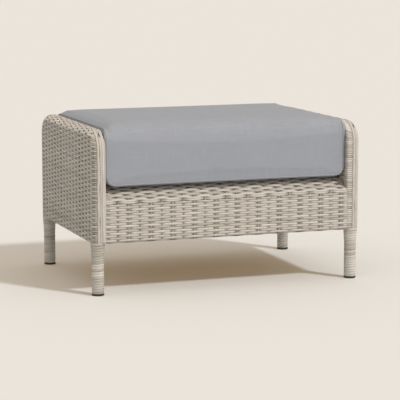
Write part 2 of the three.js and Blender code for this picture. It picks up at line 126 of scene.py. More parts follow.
def link_object(name: str, data: bpy.types.ID) -> Object:
    """Puts a new object in the scene.

    Args:
        name: Its name.
        data: The mesh, curve, lamp or camera that it holds.

    Returns:
        The object.
    """
    holder = bpy.data.objects.new(name, data)
    bpy.context.scene.collection.objects.link(holder)
    return holder


def mesh_of(name: str, bench: bmesh.types.BMesh) -> Mesh:
    """Makes a mesh of what was modelled on a bench, and clears the bench away.

    Args:
        name: The mesh's name.
        bench: The bench.

    Returns:
        The mesh.
    """
    mesh = bpy.data.meshes.new(name)
    bench.to_mesh(mesh)
    bench.free()
    return mesh


def points_of(mesh: Mesh) -> Array:
    """Reads a mesh's points.

    Args:
        mesh: The mesh.

    Returns:
        An array with one row for each point.
    """
    points = np.empty(len(mesh.vertices) * 3)
    mesh.vertices.foreach_get("co", points)
    return points.reshape(-1, 3)


def thicken(piece: Object, thickness: float) -> None:
    """Gives a sheet its thickness, on the side away from its normals.

    Args:
        piece: The sheet.
        thickness: Its thickness.
    """
    wall = piece.modifiers.new("thickness", "SOLIDIFY")
    wall.thickness = thickness
    wall.offset = -1.0


def add_piece(name: str, mesh: Mesh, body: str, material: bpy.types.Material) -> Object:
    """Makes a mesh a piece of the object.

    Args:
        name: The piece's name.
        mesh: Its mesh, in place.
        body: The body that it moves with.
        material: Its material.

    Returns:
        The piece.
    """
    piece = link_object(name, mesh)
    dress(piece, material)
    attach(piece, body)
    LOG.info("%s: %d faces on %s", name, len(mesh.polygons), body)
    return piece


class NodeBench:
    """A node tree with short calls that add and join its nodes."""

    def __init__(self, tree: bpy.types.NodeTree) -> None:
        """Takes the tree that is built.

        Args:
            tree: A material's or a group's node tree.
        """
        self.tree = tree

    def add(self, kind: str, **settings: object) -> Node:
        """Adds a node.

        Args:
            kind: The node's type.
            **settings: Properties of the node.

        Returns:
            The node.
        """
        node = self.tree.nodes.new(kind)
        for name, value in settings.items():
            setattr(node, name, value)
        return node

    def join(self, source: Socket, target: Socket) -> None:
        """Links an output to an input."""
        self.tree.links.new(source, target)

    def feed(self, value: object, target: Socket) -> None:
        """Links an output to an input, or sets the input to a plain value.

        Args:
            value: An output or a plain value.
            target: The input.
        """
        if isinstance(value, Socket):
            self.join(value, target)
        else:
            target.default_value = value

    def math(self, operation: str, *values: object, clamp: bool = False) -> Socket:
        """Adds a Math node.

        Args:
            operation: What it works out.
            *values: Its inputs, each a number or an output.
            clamp: Whether the result is held between 0 and 1.

        Returns:
            Its output.
        """
        node = self.add("ShaderNodeMath", operation=operation, use_clamp=clamp)
        for value, target in zip(values, node.inputs):
            self.feed(value, target)
        return node.outputs[0]

    def vector(self, x: object, y: object, z: object) -> Socket:
        """Adds a Combine XYZ node.

        Args:
            x: The first part, a number or an output.
            y: The second part.
            z: The third part.

        Returns:
            Its output.
        """
        node = self.add("ShaderNodeCombineXYZ")
        for value, target in zip((x, y, z), node.inputs):
            self.feed(value, target)
        return node.outputs[0]

    def split(self, vector: Socket) -> list[Socket]:
        """Adds a Separate XYZ node.

        Args:
            vector: What it takes apart.

        Returns:
            Its three outputs.
        """
        node = self.add("ShaderNodeSeparateXYZ")
        self.join(vector, node.inputs[0])
        return list(node.outputs)

    def noise(self, vector: Socket, scale: object, detail: float = 2.0) -> Socket:
        """Adds a Noise Texture.

        Args:
            vector: The place that it is worked out for.
            scale: How fine it is, as a number or an output.
            detail: How many finer layers it has.

        Returns:
            Its value, which is about 0.5 on average.
        """
        node = self.add("ShaderNodeTexNoise")
        self.join(vector, node.inputs["Vector"])
        self.feed(scale, node.inputs["Scale"])
        node.inputs["Detail"].default_value = detail
        return node.outputs[0]

    def ramp(self, value: Socket, stops: Sequence[tuple[float, Colour]]) -> Socket:
        """Adds a colour ramp.

        Args:
            value: The value that runs along it.
            stops: Places from 0 to 1, each with its linear colour.

        Returns:
            The colour output.
        """
        node = self.add("ShaderNodeValToRGB")
        elements = node.color_ramp.elements
        while len(elements) < len(stops):
            elements.new(1.0)
        for element, (place, colour) in zip(elements, stops):
            element.position = place
            element.color = (*colour, 1.0)
        self.join(value, node.inputs[0])
        return node.outputs[0]

    def tinted(self, colour: object, factor: object) -> Socket:
        """Multiplies a colour by a value.

        Args:
            colour: A colour output or a linear colour.
            factor: A value output.

        Returns:
            The colour output.
        """
        node = self.add("ShaderNodeVectorMath", operation="SCALE")
        self.feed(colour, node.inputs[0])
        self.feed(factor, node.inputs["Scale"])
        return node.outputs[0]

    def mix(self, share: Socket, first: Colour, second: Colour) -> Socket:
        """Mixes two linear colours.

        Args:
            share: How much of the second there is, from 0 to 1.
            first: The first colour.
            second: The second colour.

        Returns:
            The colour output.
        """
        node = self.add("ShaderNodeMix", data_type="RGBA")
        self.join(share, node.inputs[0])
        node.inputs[6].default_value = (*first, 1.0)
        node.inputs[7].default_value = (*second, 1.0)
        return node.outputs[2]

    def attribute(self, name: str) -> Node:
        """Adds an Attribute node that reads a mesh attribute."""
        return self.add("ShaderNodeAttribute", attribute_name=name, attribute_type="GEOMETRY")

    def bump(self, height: Socket, distance: float) -> Socket:
        """Adds a Bump node.

        Args:
            height: The relief's height.
            distance: How far a height of 1 stands out.

        Returns:
            Its normal.
        """
        node = self.add("ShaderNodeBump")
        self.join(height, node.inputs["Height"])
        node.inputs["Distance"].default_value = distance
        return node.outputs[0]

    def group(self, tree: bpy.types.NodeTree, **values: object) -> Node:
        """Adds a node group.

        Args:
            tree: The group's tree.
            **values: Its inputs by name, each a number or an output.

        Returns:
            The group node.
        """
        node = self.add("ShaderNodeGroup")
        node.node_tree = tree
        for name, value in values.items():
            self.feed(value, node.inputs[name])
        return node


class SharedEffect:
    """A node group that more than one finish uses, built once."""

    name = ""
    inputs: tuple[tuple[str, str, float], ...] = ()
    outputs: tuple[str, ...] = ()

    @classmethod
    def tree(cls) -> bpy.types.NodeTree:
        """Builds the group's tree at the first call.

        Returns:
            The tree.
        """
        if cls.name in bpy.data.node_groups:
            return bpy.data.node_groups[cls.name]
        tree = bpy.data.node_groups.new(cls.name, "ShaderNodeTree")
        for name, kind, value in cls.inputs:
            socket = tree.interface.new_socket(name=name, in_out="INPUT", socket_type=kind)
            if kind == "NodeSocketFloat":
                socket.default_value = value
        for name in cls.outputs:
            tree.interface.new_socket(name=name, in_out="OUTPUT", socket_type="NodeSocketFloat")
        bench = NodeBench(tree)
        cls.fill(bench, bench.add("NodeGroupInput"), bench.add("NodeGroupOutput"))
        return tree

    @classmethod
    def fill(cls, bench: NodeBench, given: Node, result: Node) -> None:
        """Builds the group's inside. Each effect has its own."""
        raise NotImplementedError


class Mottle(SharedEffect):
    """Slow and fine unevenness of a surface, as one value round 1."""

    name = "mottle"
    fine_ratio = 7.3
    fine_share = 0.5
    gain = 2.0
    inputs = (
        ("Vector", "NodeSocketVector", 0.0),
        ("Scale", "NodeSocketFloat", 20.0),
        ("Amount", "NodeSocketFloat", 0.1),
    )
    outputs = ("Value",)

    @classmethod
    def fill(cls, bench: NodeBench, given: Node, result: Node) -> None:
        """Adds a coarse and a fine noise, and spreads them round 1.

        Args:
            bench: The group's nodes.
            given: The node that holds its inputs.
            result: The node that takes its outputs.
        """
        fine_scale = bench.math("MULTIPLY", given.outputs["Scale"], cls.fine_ratio)
        coarse = bench.noise(given.outputs["Vector"], given.outputs["Scale"], detail=3.0)
        fine = bench.noise(given.outputs["Vector"], fine_scale)
        both = bench.math("ADD", coarse, bench.math("MULTIPLY", fine, cls.fine_share))
        off_middle = bench.math("SUBTRACT", both, (1 + cls.fine_share) / 2)
        spread = bench.math("MULTIPLY", off_middle, given.outputs["Amount"])
        bench.join(bench.math("MULTIPLY_ADD", spread, cls.gain, 1.0), result.inputs["Value"])


class ThreadWeave(SharedEffect):
    """Plain weave of threads over a cloth's own two directions, as a height and a tone with painted shade
    between the threads.
    """

    name = "thread_weave"
    crossing_height = 0.35
    yarn_scale = 420.0
    yarn_stretch = 0.04
    weft_seed = 4.7
    ridge_middle = 0.8
    ridge_contrast = 0.25
    inputs = (
        ("Vector", "NodeSocketVector", 0.0),
        ("Pitch", "NodeSocketFloat", 0.001),
        ("Slub", "NodeSocketFloat", 0.1),
    )
    outputs = ("Height", "Tone")

    @classmethod
    def fill(cls, bench: NodeBench, given: Node, result: Node) -> None:
        """Adds warp and weft ridges that change places from thread to thread, with uneven yarn.

        Args:
            bench: The group's nodes.
            given: The node that holds its inputs.
            result: The node that takes its outputs.
        """
        turns = bench.math("DIVIDE", math.pi, given.outputs["Pitch"])
        across, along, _ = bench.split(given.outputs["Vector"])
        warp, weft = (bench.math("SINE", bench.math("MULTIPLY", place, turns)) for place in (across, along))
        over = bench.math("MULTIPLY", warp, weft)
        threads = bench.math("MAXIMUM", bench.math("ABSOLUTE", warp), bench.math("ABSOLUTE", weft))
        height = bench.math("MULTIPLY_ADD", over, cls.crossing_height, threads)
        bench.join(height, result.inputs["Height"])
        slow_across = bench.math("MULTIPLY", across, cls.yarn_stretch)
        slow_along = bench.math("MULTIPLY", along, cls.yarn_stretch)
        warp_yarn = bench.noise(bench.vector(across, slow_along, 0.0), cls.yarn_scale, detail=3.0)
        weft_yarn = bench.noise(bench.vector(slow_across, along, cls.weft_seed), cls.yarn_scale, detail=3.0)
        yarn = bench.math("SUBTRACT", bench.math("ADD", warp_yarn, weft_yarn), 1.0)
        slub = bench.math("MULTIPLY", yarn, given.outputs["Slub"])
        # Painted shade between the threads and painted light on their crowns: the tone follows the threads'
        # height.
        ridge = bench.math("SUBTRACT", threads, cls.ridge_middle)
        shade = bench.math("MULTIPLY_ADD", ridge, cls.ridge_contrast, 1.0)
        bench.join(bench.math("ADD", shade, slub), result.inputs["Tone"])


class Finish:
    """A material that is built when it is first asked for."""

    name: str

    def material(self) -> bpy.types.Material:
        """Builds the material at the first call.

        Returns:
            The material.
        """
        if self.name in bpy.data.materials:
            return bpy.data.materials[self.name]
        material = bpy.data.materials.new(self.name)
        material.use_nodes = True
        bench = NodeBench(material.node_tree)
        self.build(bench, material.node_tree.nodes["Principled BSDF"])
        return material

    def build(self, bench: NodeBench, shader: Node) -> None:
        """Builds the material's nodes. Each finish has its own."""
        raise NotImplementedError


@dataclass(frozen=True)
class ResinStrand(Finish):
    """Extruded resin strand: greige, streaked along its length, finely grooved, with painted shade deep down
    in the weave.
    """

    name: str = "extruded_resin"
    stops: tuple[tuple[float, Colour], ...] = (
        (0.0, (0.236, 0.199, 0.159)),
        (0.3, (0.404, 0.352, 0.293)),
        (0.5, (0.515, 0.457, 0.388)),
        (0.72, (0.630, 0.568, 0.494)),
        (1.0, (0.783, 0.718, 0.638)),
    )
    painted_shade_shade: float = 0.66
    roughness: float = 0.56
    roughness_spread: float = 0.16
    lane_step: float = 91.0
    slow_scale: float = 14.0
    slow_spread: float = 0.75
    streak_scale: float = 34.0
    streak_lanes: float = 3.4
    streak_spread: float = 0.7
    streak_height: float = 1.2
    groove_count: float = 4.0
    groove_depth: float = 0.00008

    def build(self, bench: NodeBench, shader: Node) -> None:
        """Runs a tone of its own along each strand, with streaks and grooves, and darkens it with painted
        shade deep in the weave.

        Args:
            bench: The material's nodes.
            shader: Its shader.
        """
        along, share, tone = bench.split(bench.attribute(STRAND_ATTRIBUTE).outputs["Vector"])
        lane = bench.math("MULTIPLY", tone, self.lane_step)
        slow_place = bench.vector(bench.math("MULTIPLY", along, self.slow_scale), share, lane)
        slow = bench.noise(slow_place, 1.0)
        streak_along = bench.math("MULTIPLY", along, self.streak_scale)
        streak_place = bench.vector(streak_along, bench.math("MULTIPLY", share, self.streak_lanes), lane)
        streak = bench.noise(streak_place, 1.0, detail=4.0)
        value = tone
        for unevenness, spread in ((slow, self.slow_spread), (streak, self.streak_spread)):
            value = bench.math("MULTIPLY_ADD", bench.math("SUBTRACT", unevenness, 0.5), spread, value)
        colour = bench.ramp(value, self.stops)
        # Painted shade: the colour is darkened by how deep the strand lies in the weave.
        painted_shade = bench.attribute(PAINTED_SHADE_ATTRIBUTE).outputs["Fac"]
        shade = bench.math("MULTIPLY_ADD", painted_shade, -self.painted_shade_shade, 1.0)
        bench.join(bench.tinted(colour, shade), shader.inputs["Base Color"])
        least = self.roughness - self.roughness_spread / 2
        rough = bench.math("MULTIPLY_ADD", streak, self.roughness_spread, least)
        bench.join(rough, shader.inputs["Roughness"])
        groove = bench.math("SINE", bench.math("MULTIPLY", share, self.groove_count * math.pi))
        height = bench.math("MULTIPLY_ADD", streak, self.streak_height, groove)
        bench.join(bench.bump(height, self.groove_depth), shader.inputs["Normal"])


@dataclass(frozen=True)
class Solid(Finish):
    """Solid material of one colour, a little uneven in tone and gloss, with a fine grain."""

    name: str
    colour: Colour
    roughness: float
    mottle_scale: float
    mottle_amount: float
    grain_scale: float = 0.0
    grain_depth: float = 0.0
    metallic: float = 0.0
    even_gloss: bool = False

    def base(self, bench: NodeBench, place: Socket, mottle: Socket) -> Socket:
        """Returns the colour output: the one colour, lighter and darker with the mottle."""
        return bench.tinted(self.colour, mottle)

    def build(self, bench: NodeBench, shader: Node) -> None:
        """Spreads the mottle over the tone and the gloss, and adds the grain.

        Args:
            bench: The material's nodes.
            shader: Its shader.
        """
        place = bench.add("ShaderNodeTexCoord").outputs["Object"]
        effect = bench.group(Mottle.tree(), Vector=place, Scale=self.mottle_scale, Amount=self.mottle_amount)
        mottle = effect.outputs["Value"]
        bench.join(self.base(bench, place, mottle), shader.inputs["Base Color"])
        rough = self.roughness if self.even_gloss else bench.math("MULTIPLY", mottle, self.roughness)
        bench.feed(rough, shader.inputs["Roughness"])
        shader.inputs["Metallic"].default_value = self.metallic
        if self.grain_depth:
            grain = bench.noise(place, self.grain_scale)
            bench.join(bench.bump(grain, self.grain_depth), shader.inputs["Normal"])


@dataclass(frozen=True)
class Scuffed(Solid):
    """Solid material that is scuffed a little where it meets the ground."""

    scuff_colour: Colour = (0.10, 0.095, 0.088)
    scuff_height: float = 0.0022
    patch_scale: float = 420.0

    def base(self, bench: NodeBench, place: Socket, mottle: Socket) -> Socket:
        """Adds patches of the scuffed colour at the bottom.

        Args:
            bench: The material's nodes.
            place: The place on the piece.
            mottle: Not used.

        Returns:
            The colour output.
        """
        height = bench.split(place)[2]
        low = bench.math("SUBTRACT", 1.0, bench.math("DIVIDE", height, self.scuff_height), clamp=True)
        patchy = bench.noise(place, self.patch_scale, detail=3.0)
        patches = bench.math("GREATER_THAN", patchy, 0.5)
        return bench.mix(bench.math("MULTIPLY", low, patches), self.colour, self.scuff_colour)


@dataclass(frozen=True)
class Canvas(Finish):
    """Plain woven outdoor canvas, or another woven cloth of its own colour and pitch."""

    name: str = "outdoor_canvas"
    colour: Colour = (0.343, 0.350, 0.376)
    pitch: float = 0.00062
    slub: float = 0.16
    depth: float = 0.00009
    roughness: float = 0.9
    sheen: float = 0.05
    mottle_scale: float = 9.0
    mottle_amount: float = 0.035

    def build(self, bench: NodeBench, shader: Node) -> None:
        """Runs threads along the cloth's own directions and makes the yarn a little uneven.

        Args:
            bench: The material's nodes.
            shader: Its shader.
        """
        place = bench.attribute(CLOTH_ATTRIBUTE).outputs["Vector"]
        weave = bench.group(ThreadWeave.tree(), Vector=place, Pitch=self.pitch, Slub=self.slub)
        mottle = bench.group(Mottle.tree(), Vector=place, Scale=self.mottle_scale, Amount=self.mottle_amount)
        tone = bench.math("MULTIPLY", weave.outputs["Tone"], mottle.outputs["Value"])
        bench.join(bench.tinted(self.colour, tone), shader.inputs["Base Color"])
        shader.inputs["Roughness"].default_value = self.roughness
        shader.inputs["Sheen Weight"].default_value = self.sheen
        bench.join(bench.bump(weave.outputs["Height"], self.depth), shader.inputs["Normal"])


@dataclass(frozen=True)
class PaleFloor(Finish):
    """Plain pale floor, a touch warmer to the camera than its own colour, so that shade stays warm."""

    name: str = "pale_floor"
    colour: Colour = (0.705, 0.737, 0.750)
    glow: Colour = (0.124, 0.062, 0.004)
    roughness: float = 0.9
    specular: float = 0.2

    def build(self, bench: NodeBench, shader: Node) -> None:
        """Makes a matt floor of one colour.

        Args:
            bench: The material's nodes.
            shader: Its shader.
        """
        shader.inputs["Base Color"].default_value = (*self.colour, 1.0)
        shader.inputs["Roughness"].default_value = self.roughness
        shader.inputs["Specular IOR Level"].default_value = self.specular
        shader.inputs["Emission Color"].default_value = (*self.glow, 1.0)
        path = bench.add("ShaderNodeLightPath")
        bench.join(path.outputs["Is Camera Ray"], shader.inputs["Emission Strength"])


RESIN = ResinStrand()
POWDER = Solid(
    name="satin_coat",
    colour=(0.245, 0.215, 0.180),
    roughness=0.5,
    mottle_scale=26.0,
    mottle_amount=0.12,
    grain_scale=900.0,
    grain_depth=0.00006,
)
PLASTIC = Scuffed(
    name="moulded_plastic",
    colour=(0.018, 0.018, 0.019),
    roughness=0.48,
    mottle_scale=60.0,
    mottle_amount=0.2,
    grain_scale=2600.0,
    grain_depth=0.00005,
)
CANVAS = Canvas()
ZIP_TAPE = Canvas(name="tape_cloth", colour=(0.255, 0.257, 0.268), pitch=0.0008, slub=0.1)
FOAM = Solid(
    name="cushion_filling",
    colour=(0.76, 0.71, 0.60),
    roughness=0.95,
    mottle_scale=30.0,
    mottle_amount=0.1,
    grain_scale=1400.0,
    grain_depth=0.0003,
    even_gloss=True,
)
ZINC = Solid(
    name="cast_zinc",
    colour=(0.36, 0.36, 0.37),
    roughness=0.36,
    mottle_scale=90.0,
    mottle_amount=0.3,
    metallic=1.0,
)
FLOOR = PaleFloor()


def evenly(count: int, pitch: float) -> Array:
    """Spreads a number of places evenly round 0."""
    return (np.arange(count) - (count - 1) / 2) * pitch


def by_turns(count: int) -> Array:
    """Returns 1 and -1 by turns, for rows that pass over and under the same stake."""
    return 1 - 2 * (np.arange(count) % 2)


@dataclass(frozen=True)
class EdgeRound:
    """Round between a side panel's face and its narrow edge.

    Its centre is given sideways from the panel's middle and outwards from the hoop's centre line.
    """

    sideways: float
    outwards: float
    radius: float

    @property
    def length(self) -> float:
        """Length of the section from the hoop's centre line, up the face and over to the middle."""
        return self.outwards + self.radius * math.pi / 2 + self.sideways


@dataclass(frozen=True)
class BodySizes:
    """Sizes of the woven body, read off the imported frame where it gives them."""

    post_x: float
    post_y: float
    panel_half: float
    panel_low: float
    panel_top: float
    apron_face: float
    apron_hook_y: float
    seat: float
    deck_x: float
    deck_edge: float
    hoop_bend: float = 0.038
    outer_round: float = 0.0195
    inner_fullness: float = 0.0005
    foot_round: float = 0.009
    sole_round: float = 0.008
    ledge_drop: float = 0.0297
    ledge_depth: float = 0.0694
    ledge_round: float = 0.020
    apron_round: float = 0.007
    hook_height: float = 0.022
    skin_gap: float = 0.0064

    @classmethod
    def read(cls) -> "BodySizes":
        """Reads the body's places off the frame.

        Returns:
            The sizes.
        """
        panel_low, panel_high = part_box("right_panel_weave")
        _, apron_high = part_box("rear_apron_weave")
        _, deck_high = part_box("deck_weave")
        lower_low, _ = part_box("rear_lower_rail")
        half = (panel_high.x - panel_low.x) / 2
        return cls(
            post_x=(panel_high.x + panel_low.x) / 2,
            post_y=panel_high.y - half,
            panel_half=half,
            panel_low=panel_low.z,
            panel_top=panel_high.z,
            apron_face=apron_high.y,
            apron_hook_y=lower_low.y - cls.skin_gap,
            seat=apron_high.z,
            deck_x=deck_high.x,
            deck_edge=deck_high.y,
        )

    @property
    def hoop_top(self) -> float:
        """Height of the hoop's centre line over its top rail."""
        return self.panel_top - self.panel_half


@dataclass(frozen=True)
class ToneRange:
    """How light strands are, from 0 to 1: the usual tone, how much it varies, and its limits."""

    middle: float
    spread: float
    low: float = 0.1
    high: float = 0.9

    def draw(self, rng: Rng, lift: float = 0.0) -> float:
        """Draws one strand's tone, which a lift makes lighter."""
        return float(np.clip(rng.normal(self.middle, self.spread) + lift, self.low, self.high))


@dataclass(frozen=True)
class StrandCut:
    """Section of a strand: its width, its thickness and how far its middle, the crown, stands up."""

    width: float
    thickness: float = 0.0011
    crown: float = 0.0004


@dataclass(frozen=True)
class FlatStrands:
    """Points of flat strands: the number of each point's strand, and its place on that strand.

    The share is the place across, from -1 to 1, and the rise is how far the strand's crown lifts it.
    """

    number: Array
    along: Array
    across: Array
    share: Array
    rise: Array


@dataclass
class StrandSheet:
    """Strands laid flat in one mesh, until they are given their places on the object.

    A flat strand has its length along X and its width across Y, and its number is its height.
    """

    name: str
    cut: StrandCut
    lanes: int = 2
    tones: list[float] = field(default_factory=list)
    bench: bmesh.types.BMesh = field(default_factory=bmesh.new)

    def lay(self, start: float, end: float, segments: int, tone: float = 0.5) -> None:
        """Lays one more strand.

        Args:
            start: Where it starts along its own line.
            end: Where it ends.
            segments: How many faces it has along its length.
            tone: How light it is, from 0 to 1.
        """
        middle = Matrix.Translation(((start + end) / 2, 0, len(self.tones)))
        place = middle @ Matrix.Diagonal((end - start, self.cut.width, 1, 1))
        bmesh.ops.create_grid(
            self.bench, x_segments=segments, y_segments=self.lanes, size=0.5, matrix=place
        )
        self.tones.append(tone)

    def lay_alike(
        self, count: int, ends: tuple[float, float], segments: int, tones: ToneRange, rng: Rng
    ) -> None:
        """Lays strands of one length, each with a tone that is drawn for it.

        Args:
            count: How many strands.
            ends: Where they start and end along their own lines.
            segments: How many faces each has along its length.
            tones: How light they are.
            rng: What the tones are drawn from.
        """
        for _ in range(count):
            self.lay(*ends, segments, tones.draw(rng))

    def flat(self) -> FlatStrands:
        """Makes the mesh.

        Returns:
            Its flat points.
        """
        self.mesh = mesh_of(self.name, self.bench)
        along, across, number = points_of(self.mesh).T
        share = across * 2 / self.cut.width
        rise = self.cut.crown * (1 - share * share)
        return FlatStrands(np.rint(number).astype(int), along, across, share, rise)

    def finish(
        self, flat: FlatStrands, points: Array, painted_shade: Array, tone: Array | None = None
    ) -> Object:
        """Puts the strands in their places and gives them their thickness.

        Args:
            flat: The flat points.
            points: The same points in place.
            painted_shade: How much painted shade each point gets, for where it lies deep in the weave, from
                0 to 1.
            tone: A tone for each point, where one tone for each strand isn't enough.

        Returns:
            The strands as one piece, which rides on the frame.
        """
        self.mesh.vertices.foreach_set("co", points.ravel())
        tones = np.array(self.tones)[flat.number] if tone is None else tone
        strand = self.mesh.attributes.new(STRAND_ATTRIBUTE, "FLOAT_VECTOR", "POINT")
        strand.data.foreach_set("vector", np.stack([flat.along, flat.share, tones], 1).ravel())
        # The painted shade of the weave's recesses, which darkens the strand's colour.
        depth = self.mesh.attributes.new(PAINTED_SHADE_ATTRIBUTE, "FLOAT", "POINT")
        depth.data.foreach_set("value", painted_shade.astype(np.float32))
        self.mesh.shade_smooth()
        piece = add_piece(self.name, self.mesh, "frame", RESIN.material())
        thicken(piece, self.cut.thickness)
        return piece


@dataclass(frozen=True)
class Crossing:
    """How rows pass their stakes: each dips under every second one, and swells over the others.

    Some stakes press harder than others, in an order that repeats.
    """

    first: float
    pitch: float
    reach: float
    rest: float = 0.78
    swell: float = 0.14
    strengths: tuple[float, ...] = (1.0,)

    def press(self, along: Array, turned: Array) -> Array:
        """How hard each point of a row is pressed outwards by the stake beside it.

        Args:
            along: Place along the row.
            turned: 1 where the row passes over the first stake, and -1 where it passes under.

        Returns:
            Values from -1, right under a stake, to 1, right over one.
        """
        stake = np.rint((along - self.first) / self.pitch).astype(int)
        off = np.abs(along - self.first - stake * self.pitch) / self.reach
        bump = 0.5 + 0.5 * np.cos(math.pi * np.clip(off, 0, 1))
        strength = np.array(self.strengths)[stake % len(self.strengths)]
        return turned * (1 - 2 * (stake % 2)) * bump * strength

    def level(self, press: Array) -> Array:
        """How far out of the weave's middle a row lies, from -1 to 1."""
        return self.rest + np.where(press > 0, 1 - self.rest, 1 + self.rest) * press

    def spread(self, press: Array) -> Array:
        """How wide a row is there, as a share of its own width."""
        return 1 + self.swell * press


class SectionPath:
    """A path in a section, of straight lines and arcs, measured along its length.

    The outside is on its left-hand side.
    """

    arc_step = math.radians(6)
    least_steps = 2
    look_ahead = 0.0006

    def __init__(self, corners: Sequence[tuple[float, float]], radii: Sequence[float]) -> None:
        """Rounds the corners and measures the path.

        Args:
            corners: The path's corners.
            radii: Each corner's radius, or 0 at its two ends.
        """
        points: list[Vector] = [Vector(corners[0])]
        self.corner_lengths: list[float] = []
        for before, corner, after, radius in zip(corners, corners[1:], corners[2:], radii[1:]):
            points += self.arc(Vector(before), Vector(corner), Vector(after), radius)
        points.append(Vector(corners[-1]))
        self.points = np.array([tuple(point) for point in points])
        steps = np.linalg.norm(np.diff(self.points, axis=0), axis=1)
        self.lengths = np.concatenate([[0.0], np.cumsum(steps)])
        for corner in corners[1:-1]:
            nearest = np.argmin(np.linalg.norm(self.points - np.array(corner), axis=1))
            self.corner_lengths.append(float(self.lengths[nearest]))

    @classmethod
    def arc(cls, before: Vector, corner: Vector, after: Vector, radius: float) -> list[Vector]:
        """Rounds one corner.

        Args:
            before: The corner before it.
            corner: The corner.
            after: The corner after it.
            radius: Its radius.

        Returns:
            The points of its arc.
        """
        into = (corner - before).normalized()
        out = (after - corner).normalized()
        turn = into.angle_signed(out)
        side = Vector((-into.y, into.x)) * (-1 if turn > 0 else 1)
        start = corner - into * (radius * math.tan(abs(turn) / 2))
        centre = start + side * radius
        steps = max(int(abs(turn) / cls.arc_step), cls.least_steps)
        spoke = start - centre
        return [centre + Matrix.Rotation(-turn * step / steps, 2) @ spoke for step in range(steps + 1)]

    @property
    def length(self) -> float:
        """The whole path's length."""
        return float(self.lengths[-1])

    def points_at(self, place: Array) -> Array:
        """Finds the points at some lengths along the path."""
        return np.stack([np.interp(place, self.lengths, self.points[:, axis]) for axis in range(2)], 1)

    def at(self, place: Array) -> tuple[Array, Array]:
        """Finds points on the path.

        Args:
            place: Lengths along it.

        Returns:
            The points, and the directions that point outwards there.
        """
        tangent = self.points_at(place + self.look_ahead) - self.points_at(place - self.look_ahead)
        tangent /= np.linalg.norm(tangent, axis=1)[:, None]
        return self.points_at(place), np.stack([-tangent[:, 1], tangent[:, 0]], 1)


